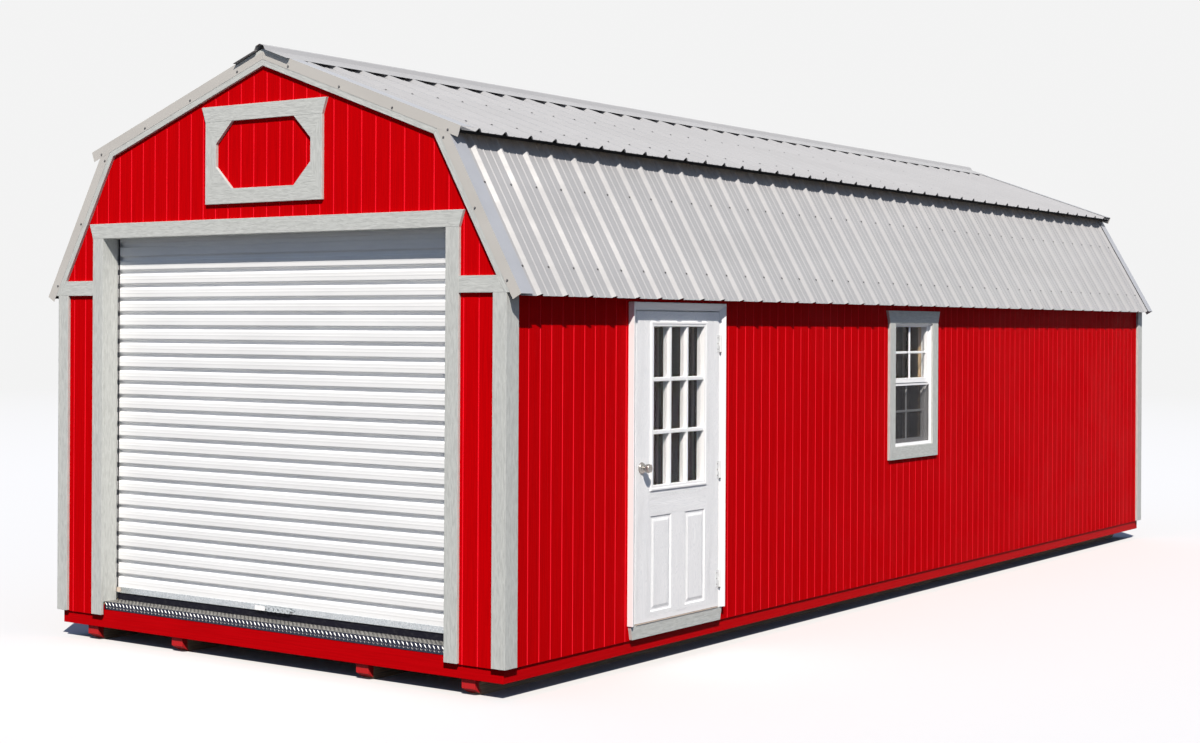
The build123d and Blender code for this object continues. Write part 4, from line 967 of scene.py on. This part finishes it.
def sash(shape, x, low, high, top, bottom):
    """Four rails of a sash, each with eased edges, and its two bars; returns the pane's corners."""
    out = (1, 0, 0)
    back = x - SASH_THICK
    left, right = low[0] + STILE, high[0] - STILE
    foot, head = low[1] + bottom, high[1] - top
    for y in (low[0] + STILE / 2, high[0] - STILE / 2):
        shape.bar((back, y, low[1]), (back, y, high[1]), out, STILE, SASH_THICK, SASH_EDGE)
    for z, tall in ((low[1] + bottom / 2, bottom), (high[1] - top / 2, top)):
        shape.bar((back, left, z), (back, right, z), out, tall, SASH_THICK - 0.001, SASH_EDGE)
    pane = x - PANE_SET * SASH_THICK
    middle_y, middle_z = (left + right) / 2, (foot + head) / 2
    shape.bar((pane, middle_y, foot), (pane, middle_y, head), out, WINDOW_BAR, BAR_PROUD, BAR_SLOPE)
    shape.bar((pane, left, middle_z), (pane, right, middle_z), out, WINDOW_BAR, BAR_PROUD - 0.0005,
              BAR_SLOPE)
    return (pane - PANE, left, foot), (pane, right, head)


def window():
    """Frame, outer and inner sash, panes and a half screen, in the casing's opening."""
    low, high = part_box("window_frame")
    casing = Shape()
    face, step, deep = high.x, FRAME_STEP, FRAME_STEP * 1.25
    casing.frame([(low.x, 0), (face - SASH_EDGE, 0), (face, SASH_EDGE), (face, step - SASH_EDGE),
                  (face - SASH_EDGE, step), (face - FRAME_REBATE[0], step), (face - FRAME_REBATE[1], deep),
                  (low.x, deep)], (low.y, low.z), (high.y, high.z))
    piece("window_surround", casing, "window_vinyl", stands_for=["window_frame"])
    rails, panes, rim = Shape(), Shape(), Shape()
    left, right = low.y + step, high.y - step
    foot, head = low.z + step, high.z - step
    upper_x = face - UPPER_SET
    panes.box(*sash(rails, upper_x, (left, high.z - UPPER_SASH), (right, head), *UPPER_RAILS))
    panes.box(*sash(rails, upper_x - LOWER_SET, (left, foot), (right, high.z - LOWER_SASH), *LOWER_RAILS))
    piece("window_rails", rails, "window_vinyl", stands_for=["window_sashes"])
    piece("window_panes", panes, "clear_glass", stands_for=["window_glass"])
    screen, head = face - SCREEN_SET, high.z - SCREEN_TOP
    rim.frame([(screen - SCREEN_THICK, 0), (screen, 0), (screen, SCREEN_RIM),
               (screen - SCREEN_THICK, SCREEN_RIM)], (left, foot), (right, head))
    piece("screen_rim", rim, "window_vinyl")
    box_piece("screen_mesh", (screen - MESH_SET - MESH, left + MESH_INSET, foot + MESH_INSET),
              (screen - MESH_SET, right - MESH_INSET, head - MESH_INSET), "seal_rubber",
              finish=insect_screen())


window()

# Entry door: hinge screws and tips, knobs, sill and sweep
HINGE_SCREW_IN = 0.3 * INCH  # screws from the plate's free edge
HINGE_SCREW_STEP = 1.35 * INCH
HINGE_PLATE = 0.0016  # plate's face beyond the leaf's
PIN_OUT = 0.008
PIN_IN = 0.006  # pin from the plate's other edge
SWEEP = 0.007
NOSE = 0.004
SWEEP_CLEAR = 0.0005  # sweep's ends inside the leaf's edges


def solids(node):
    """Lowest and highest corners of each separate solid in a node."""
    number, where = islands(nodes[node].data)
    return [(Vector(where[number == n].min(0)), Vector(where[number == n].max(0)))
            for n in np.unique(number)]


def hinge_details():
    """Sunk screws in the plates on the leaf, and tips under the pins, coloured near black as painted shade
    for the shaded underside of each barrel.
    """
    heads, tips = Shape(), Shape()
    for low, high in solids("leaf_hinges"):
        for n in (-1, 0, 1):
            z = (low.z + high.z) / 2 + n * HINGE_SCREW_STEP
            heads.turned([(0.0042, 0.0), (0.0042, 0.0007), (0.002, 0.0002)],
                         (leaf_high.x + HINGE_PLATE, low.y + HINGE_SCREW_IN, z), (1, 0, 0), sides=10)
        tips.turned([(0.0035, -0.0075), (0.0062, -0.0055), (0.0062, 0.0), (0.0035, 0.0)],
                    (leaf_high.x + PIN_OUT, high.y - PIN_IN, low.z), (0, 0, 1), sides=12)
    piece("hinge_screws", heads, "lever_nickel", "entry_door")
    # The tips' near-black finish is painted shade under each hinge barrel.
    piece("hinge_tips", tips, "hinge_white", "entry_door", finish=screw_finish)


def knobs():
    """A round knob on a domed rose, on both faces of the leaf."""
    low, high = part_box("door_rosettes")
    centre_y, centre_z = (low.y + high.y) / 2, (low.z + high.z) / 2
    roses, grips = Shape(), Shape()
    for face, way in leaf_faces:
        centre = (face, centre_y, centre_z)
        roses.turned([(0.033, 0.0), (0.033, 0.002), (0.0315, 0.006), (0.027, 0.011), (0.020, 0.015),
                      (0.0145, 0.017), (0.0145, 0.019)], centre, (way, 0, 0), sides=40)
        grips.turned([(0.0105, 0.0192), (0.0105, 0.024), (0.0125, 0.026), (0.0195, 0.029), (0.0235, 0.034),
                      (0.0252, 0.041), (0.0255, 0.049), (0.0248, 0.055), (0.0228, 0.0592), (0.0195, 0.0612),
                      (0.0105, 0.0616), (0.0098, 0.0604), (0.0060, 0.0604), (0.0056, 0.0622),
                      (0.0030, 0.0622)], centre, (way, 0, 0), sides=40)
    piece("door_roses", roses, "lever_nickel", "entry_door", ["door_rosettes"], smooth=True)
    piece("door_knobs", grips, "lever_nickel", "lever", ["door_lever"], smooth=True)


def sill_and_sweep():
    """A sill that ends behind the leaf's face, its thin nose, and the sweep under the leaf."""
    low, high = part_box("door_sill")
    face = leaf_high.x
    box_piece("sill_plate", low, (face - 2 * SWEEP, high.y, high.z), "sill_metal",
              stands_for=["door_sill"])
    box_piece("sill_nose", (face - 2 * SWEEP, low.y, low.z), (face + 0.004, high.y, low.z + NOSE),
              "sill_metal", finish=beige_clip)
    box_piece("door_sweep", (face - SWEEP, leaf_low.y + SWEEP_CLEAR, low.z + NOSE + 0.003),
              (face - 0.0002, leaf_high.y - SWEEP_CLEAR, leaf_low.z), "door_white", "entry_door",
              finish=plain_white)


hinge_details()
knobs()
sill_and_sweep()


# Roll-up door: curtain, perforated slide latch, clips
CURTAIN_PITCH = 3.3 * INCH
CURTAIN_FLAT = 2.0 * INCH
CURTAIN_SLOPE = 0.22 * INCH
CURTAIN_RIB = 0.8 * INCH
BEAD_RISE = 1.1 * INCH  # bead above the foot of its flat
BEAD = ((0.0, -0.006), (-0.0005, -0.0035), (-0.0007, 0.0), (-0.0005, 0.0035), (0.0, 0.006))
CHANNEL_EDGE = ((0.0, -0.004), (0.0012, -0.0008), (0.0045, 0.003),
                (CURTAIN_RIB - 0.003, CURTAIN_SLOPE - 0.002), (CURTAIN_RIB, CURTAIN_SLOPE + 0.002))
GUIDE_SHADE_STRIP = 0.35 * INCH
SHADE_STRIP_FRONT, SHADE_STRIP_BACK = 0.0035, 0.0023  # black strip's faces before the curtain's
FITTING_GAP = 0.0002  # fittings stand this far off what they are on
PLATE_LEFT, PLATE_RIGHT = -5.9 * INCH, -2.8 * INCH  # blank plate beside the latch, from the middle
SLIDE_LEFT, SLIDE_LONG = -2.1 * INCH, 7.0 * INCH
SLIDE_HALF = 0.6 * INCH
SLIDE_HOLES = 5
HOLE_R = 0.28 * INCH
CLIP_LONG = 2.2 * INCH
BLOCK_LONG = 1.3 * INCH


def curtain():
    """One rolled sheet: flats with a bead, and rounded channels; the profiles hold (depth, rise)."""
    low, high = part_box("rollup_curtain")
    line = [(0.0, low.z)]
    row = low.z
    while row + CURTAIN_PITCH < high.z:
        line += [(depth, row + BEAD_RISE + rise) for depth, rise in BEAD]
        for start, way in ((row + CURTAIN_FLAT, 1), (row + CURTAIN_PITCH, -1)):
            line += [(depth, start + way * rise) for depth, rise in CHANNEL_EDGE[::way]]
        row += CURTAIN_PITCH
    line.append((0.0, high.z))
    shape = Shape()
    shape.add([(x, low.y + depth + lift, z) for depth, z in line
               for x, lift in ((low.x, 0.0), (high.x, 0.0), (high.x, SHEET), (low.x, SHEET))],
              ring_faces(4, len(line)))
    piece("rollup_sheet", shape, "white_curtain", stands_for=["rollup_curtain"])


def guide_shade_strips():
    """Painted shade: black strips along the curtain's edges, in front of the guides, for the dark slots
    beside the curtain.
    """
    low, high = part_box("rollup_curtain")
    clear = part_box("threshold_plate")[1].x
    strips = Shape()
    for side in (-1, 1):
        left, right = sorted((side * clear, side * (clear - GUIDE_SHADE_STRIP)))
        strips.box((left, low.y - SHADE_STRIP_FRONT, low.z - INCH), (right, low.y - SHADE_STRIP_BACK, high.z))
    piece("guide_shade_strips", strips, "seal_rubber")


def hole_ring(shape, low, high, radius, front, back):
    """A rectangular link of strip with a round hole, in the XZ plane."""
    sides = 16
    centre = ((low[0] + high[0]) / 2, (low[1] + high[1]) / 2)
    half = ((high[0] - low[0]) / 2, (high[1] - low[1]) / 2)
    points = []
    for y, outer in ((front, True), (front, False), (back, False), (back, True)):
        for n in range(sides):
            turn = 2 * math.pi * (n + 0.5) / sides
            c, s = math.cos(turn), math.sin(turn)
            reach = min(half[0] / abs(c), half[1] / abs(s)) if outer else radius
            points.append((centre[0] + c * reach, y, centre[1] + s * reach))
    shape.add(points, ring_faces(sides, 4, loop=True))


def bar_fittings():
    """Slide with holes, blank white plate, and a clip and a block at the ends of the bottom bar."""
    low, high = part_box("rollup_bottom_bar")
    face = low.y
    middle = (low.z + high.z) / 2
    plate_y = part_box("rollup_latch")[0].y
    box_piece("latch_label_plate", (PLATE_LEFT, plate_y - 0.0012, middle - 0.55 * INCH),
              (PLATE_RIGHT, plate_y - FITTING_GAP, middle + 0.5 * INCH), "white_curtain",
              finish=plain_white)
    strip = Shape()
    step = SLIDE_LONG / SLIDE_HOLES
    for n in range(SLIDE_HOLES):
        left = SLIDE_LEFT + n * step
        hole_ring(strip, (left, middle - SLIDE_HALF), (left + step, middle + SLIDE_HALF), HOLE_R,
                  plate_y - 0.0042, plate_y - 0.0012)
    piece("latch_slide", strip, "galvanised")
    box_piece("bar_clip", (high.x - CLIP_LONG, face - 0.003, middle - 0.35 * INCH),
              (high.x, face - FITTING_GAP, high.z), "white_curtain", finish=plain_white)
    block = box_piece("bar_block", (low.x, face - 0.004, middle - 0.5 * INCH),
                      (low.x + BLOCK_LONG, face - FITTING_GAP, high.z - 0.002), "white_curtain",
                      finish=beige_clip)
    bevelled(block, width=0.001)


curtain()
guide_shade_strips()
bar_fittings()

# Tread plate: raised lozenges on its top and its lip; each holds length, width and height
TREAD_STEP = 0.62 * INCH
TREAD_MARGIN = 0.006
TOP_LOZENGE = (0.66 * INCH, 0.17 * INCH, 0.0016)
LIP_STEP = 1.2 * INCH
LIP_LOZENGE = (1.1 * INCH, 0.32 * INCH, 0.0028)
SMALL_LOZENGE = (0.6 * INCH, 0.18 * INCH, 0.002)
LIP_ROW, SMALL_ROW = 0.55 * INCH, 1.35 * INCH  # below the plate's top
SMALL_SHIFT, SMALL_APART = 0.3 * INCH, 0.22 * INCH


def lozenge(shape, centre, along, out, size):
    """A ridge with four pointed sides on a face that looks along out."""
    centre, along, out = Vector(centre), Vector(along).normalized(), Vector(out)
    across = along.cross(out)
    long, wide, high = size
    shape.add([centre + along * long / 2, centre + across * wide / 2, centre - along * long / 2,
               centre - across * wide / 2, centre + along * long / 5 + out * high,
               centre - along * long / 5 + out * high],
              [(0, 1, 4), (0, 4, 3), (2, 5, 1), (2, 3, 5), (1, 5, 4), (3, 4, 5), (0, 3, 2, 1)])


def tread_pattern():
    """Lozenges turned either way by turns on the top, and large and small ones on the lip."""
    low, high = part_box("threshold_plate")
    bumps, lip = Shape(), Shape()
    rows = int((high.y - low.y - TREAD_MARGIN) // TREAD_STEP)
    for n in range(int((high.x - low.x) // TREAD_STEP)):
        for row in range(rows):
            spot = (low.x + (n + 0.5) * TREAD_STEP, low.y + (row + 0.6) * TREAD_STEP, high.z)
            lozenge(bumps, spot, (1, 1 if (n + row) % 2 else -1, 0), (0, 0, 1), TOP_LOZENGE)
    for n in range(int((high.x - low.x) // LIP_STEP)):
        x = low.x + (n + 0.5) * LIP_STEP
        lozenge(lip, (x, low.y, high.z - LIP_ROW), (0.62, 0, -0.8), (0, -1, 0), LIP_LOZENGE)
        for way in (-1, 1):
            spot = (x + SMALL_SHIFT + SMALL_APART * way, low.y, high.z - SMALL_ROW)
            lozenge(bumps, spot, (0.7 * way, 0, 0.7), (0, -1, 0), SMALL_LOZENGE)
    piece("tread_bumps", bumps, "tread_plate")
    # The lip's large lozenges take the finish with the painted highlight.
    piece("tread_lip_bumps", lip, "tread_plate", finish=tread_painted_highlight)


tread_pattern()

# Light, floor and camera
STAGE_WHITE = (0.90, 0.90, 0.90)
FLOOR_GREY = (0.78, 0.78, 0.78)
FLOOR_REACH = 300.0
FLOOR_FADE = (12.0, 45.0)  # from here to there the floor turns into the surroundings
CAMERA_PLACE = (7.604, -12.561, 1.922)
CAMERA_AZIMUTH = math.radians(35.782)
CAMERA_ROLL = 0.005
PHOTO = (1200.0, 743.0)
FOCAL_PIXELS = 1901.15
PHOTO_CENTRE = (555.54, 326.80)  # where the lens axis meets the photo


def looked_at(tree):
    """1 where the eye looks, straight, in a mirror or through glass; 0 for light that falls on the part."""
    path = tree.nodes.new("ShaderNodeLightPath")
    seen = path.outputs["Is Camera Ray"]
    for other in ("Is Glossy Ray", "Is Transmission Ray"):
        either = tree.nodes.new("ShaderNodeMath")
        either.operation = "MAXIMUM"
        tree.links.new(seen, either.inputs[0])
        tree.links.new(path.outputs[other], either.inputs[1])
        seen = either.outputs["Value"]
    return seen


def blend(tree, factor, first, second, output):
    """Sends a mix of two shaders to the surface."""
    mix = tree.nodes.new("ShaderNodeMixShader")
    for source, target in zip((factor, first, second), mix.inputs):
        tree.links.new(source, target)
    tree.links.new(mix.outputs["Shader"], tree.nodes[output].inputs["Surface"])


def sunlight():
    data = bpy.data.lights.new("sun", "SUN")
    data.energy = 5.0
    data.angle = math.radians(0.8)
    data.color = (1.0, 0.94, 0.86)
    lamp = placed("sun", data)
    lamp.rotation_mode = "QUATERNION"
    lamp.rotation_quaternion = Vector(SUN_TOWARDS).to_track_quat("Z", "Y")


def sky():
    """Even pale surroundings: a soft fill on the object, near white to the eye and in reflections."""
    world = bpy.data.worlds.new("studio")
    bpy.context.scene.world = world
    world.use_nodes = True
    tree = world.node_tree
    fill = tree.nodes["Background"]
    fill.inputs["Color"].default_value = (0.40, 0.61, 1.0, 1)
    fill.inputs["Strength"].default_value = 0.33
    shown = tree.nodes.new("ShaderNodeBackground")
    shown.inputs["Color"].default_value = (*STAGE_WHITE, 1)
    blend(tree, looked_at(tree), fill.outputs["Background"], shown.outputs["Background"], "World Output")


def floor():
    """A pale floor that fades into the surroundings far from the object."""
    mesh = bpy.data.meshes.new("studio_floor")
    corners = [(FLOOR_REACH * x, FLOOR_REACH * y, 0) for x, y in ((-1, -1), (1, -1), (1, 1), (-1, 1))]
    mesh.from_pydata(corners, [], [(0, 1, 2, 3)])
    plane = placed("studio_floor", mesh)
    made = Finish("studio_floor", FLOOR_GREY, 0.9, shine=0.0)
    made.paint(made.mixed(looked_at(made.tree), (0.05, 0.05, 0.05), FLOOR_GREY))
    distance = made.node("ShaderNodeVectorMath", {0: made.place((1, 1, 1))}, operation="LENGTH")
    far = made.spread(distance.outputs["Value"], *FLOOR_FADE)
    glow = made.node("ShaderNodeEmission", {"Color": STAGE_WHITE})
    blend(made.tree, far, made.shader.outputs["BSDF"], glow.outputs["Emission"], "Material Output")
    mesh.materials.append(made.material)


def camera():
    """The photo's own camera: place, azimuth and roll, with the lens axis off the picture's middle."""
    data = bpy.data.cameras.new("camera")
    data.sensor_width = 36.0
    data.lens = FOCAL_PIXELS / PHOTO[0] * data.sensor_width
    data.shift_x = (PHOTO[0] / 2 - PHOTO_CENTRE[0]) / PHOTO[0]
    data.shift_y = (PHOTO_CENTRE[1] - PHOTO[1] / 2) / PHOTO[0]
    data.clip_end = 1000.0
    eye = placed("camera", data)
    forward = Vector((-math.sin(CAMERA_AZIMUTH), math.cos(CAMERA_AZIMUTH), 0))
    right = forward.cross(Vector((0, 0, 1)))
    up = right.cross(forward)
    right, up = (right * math.cos(CAMERA_ROLL) + up * math.sin(CAMERA_ROLL),
                 up * math.cos(CAMERA_ROLL) - right * math.sin(CAMERA_ROLL))
    turn = Matrix((right, up, -forward)).transposed()
    eye.matrix_world = Matrix.Translation(CAMERA_PLACE) @ turn.to_4x4()
    bpy.context.scene.camera = eye


sunlight()
sky()
floor()
camera()
bpy.context.scene.view_settings.view_transform = "Standard"
